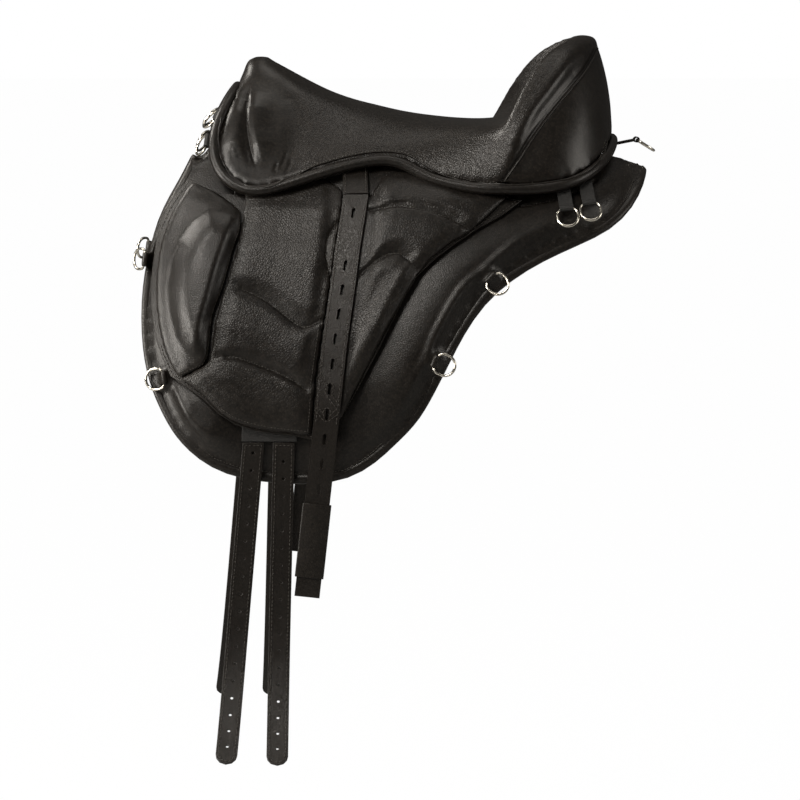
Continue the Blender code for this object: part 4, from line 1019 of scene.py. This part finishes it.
shot = {"azimuth": -2.2, "elevation": 5.0, "distance": 5.5, "width": 0.96, "target": (0, 0, -0.252)}
roomLook = {
    "low": 0.025, "high": 0.12, "tint": (1.0, 0.96, 0.9, 1), "backdrop": (1, 1, 1, 1), "floorDrop": 0.25,
    "floorSize": 60.0, "floorColour": (0.3, 0.3, 0.296, 1), "glow": 1.02, "glowShare": 0.97,
}
lampTint = (1.0, 0.95, 0.88)
lamps = {
    "keyBox": {"at": (-1.6, -2.3, 2.3), "size": 1.1, "power": 90},
    "leftBox": {"at": (-2.8, -0.9, 0.2), "size": 1.2, "power": 90},
    "crestBox": {"at": (-2.2, 0.8, 2.2), "size": 1.1, "power": 75},
    "rearBox": {"at": (2.8, -0.9, 0.7), "size": 1.4, "power": 30},
    "topBox": {"at": (0.2, 0.3, 2.6), "size": 1.2, "power": 10},
}

world = bpy.data.worlds.new("studio")
bpy.context.scene.world = world
world.use_nodes = True
tree = world.node_tree
tree.nodes.clear()
seen = add(tree, "ShaderNodeBackground", Strength=1.0)
seen.inputs["Color"].default_value = roomLook["backdrop"]
room = add(tree, "ShaderNodeBackground")
room.inputs["Color"].default_value = roomLook["tint"]
height = tree.nodes.new("ShaderNodeSeparateXYZ")
tree.links.new(tree.nodes.new("ShaderNodeTexCoord").outputs["Generated"], height.inputs["Vector"])
upward = ramp(tree, height.outputs["Z"], -0.3, 0.9, roomLook["low"], roomLook["high"])
tree.links.new(upward, room.inputs["Strength"])
choice = tree.nodes.new("ShaderNodeMixShader")
tree.links.new(tree.nodes.new("ShaderNodeLightPath").outputs["Is Camera Ray"], choice.inputs["Fac"])
tree.links.new(room.outputs["Background"], choice.inputs[1])
tree.links.new(seen.outputs["Background"], choice.inputs[2])
tree.links.new(choice.outputs["Shader"], tree.nodes.new("ShaderNodeOutputWorld").inputs["Surface"])

floorTone, tree, shader = nodeTree("paleFloor")
shader.inputs["Base Color"].default_value = roomLook["floorColour"]
shader.inputs["Roughness"].default_value = 0.9
glow = add(tree, "ShaderNodeEmission", Strength=roomLook["glow"])
choice = tree.nodes.new("ShaderNodeMixShader")
seenByCamera = tree.nodes.new("ShaderNodeLightPath").outputs["Is Camera Ray"]
tree.links.new(ramp(tree, seenByCamera, 0.0, 1.0, 0.0, roomLook["glowShare"]), choice.inputs["Fac"])
tree.links.new(shader.outputs["BSDF"], choice.inputs[1])
tree.links.new(glow.outputs["Emission"], choice.inputs[2])
tree.links.new(choice.outputs["Shader"], tree.nodes["Material Output"].inputs["Surface"])
bm = bmesh.new()
bmesh.ops.create_grid(bm, x_segments=1, y_segments=1, size=roomLook["floorSize"])
bmesh.ops.translate(bm, vec=(0, 0, cadBox[0][2] - roomLook["floorDrop"]), verts=bm.verts[:])
floor = piece("floor", bm)
floor.data.materials.append(floorTone)

middle = Vector((0, 0, -0.1))
for name, look in lamps.items():
    lamp = bpy.data.lights.new(name, "AREA")
    lamp.shape = "SQUARE"
    lamp.size = look["size"]
    lamp.energy = look["power"]
    lamp.color = lampTint
    box = bpy.data.objects.new(name, lamp)
    box.location = look["at"]
    box.rotation_euler = (middle - box.location).to_track_quat("-Z", "Y").to_euler()
    bpy.context.scene.collection.objects.link(box)

azimuth = math.radians(shot["azimuth"])
elevation = math.radians(shot["elevation"])
reach = math.cos(elevation)
back = Vector((math.sin(azimuth) * reach, -math.cos(azimuth) * reach, math.sin(elevation)))
camera = bpy.data.objects.new("camera", bpy.data.cameras.new("camera"))
camera.data.lens = camera.data.sensor_width * shot["distance"] / shot["width"]
camera.location = Vector(shot["target"]) + back * shot["distance"]
camera.rotation_euler = (-back).to_track_quat("-Z", "Y").to_euler()
bpy.context.scene.collection.objects.link(camera)
bpy.context.scene.camera = camera
bpy.context.scene.view_settings.view_transform = "Standard"
print("stage set")
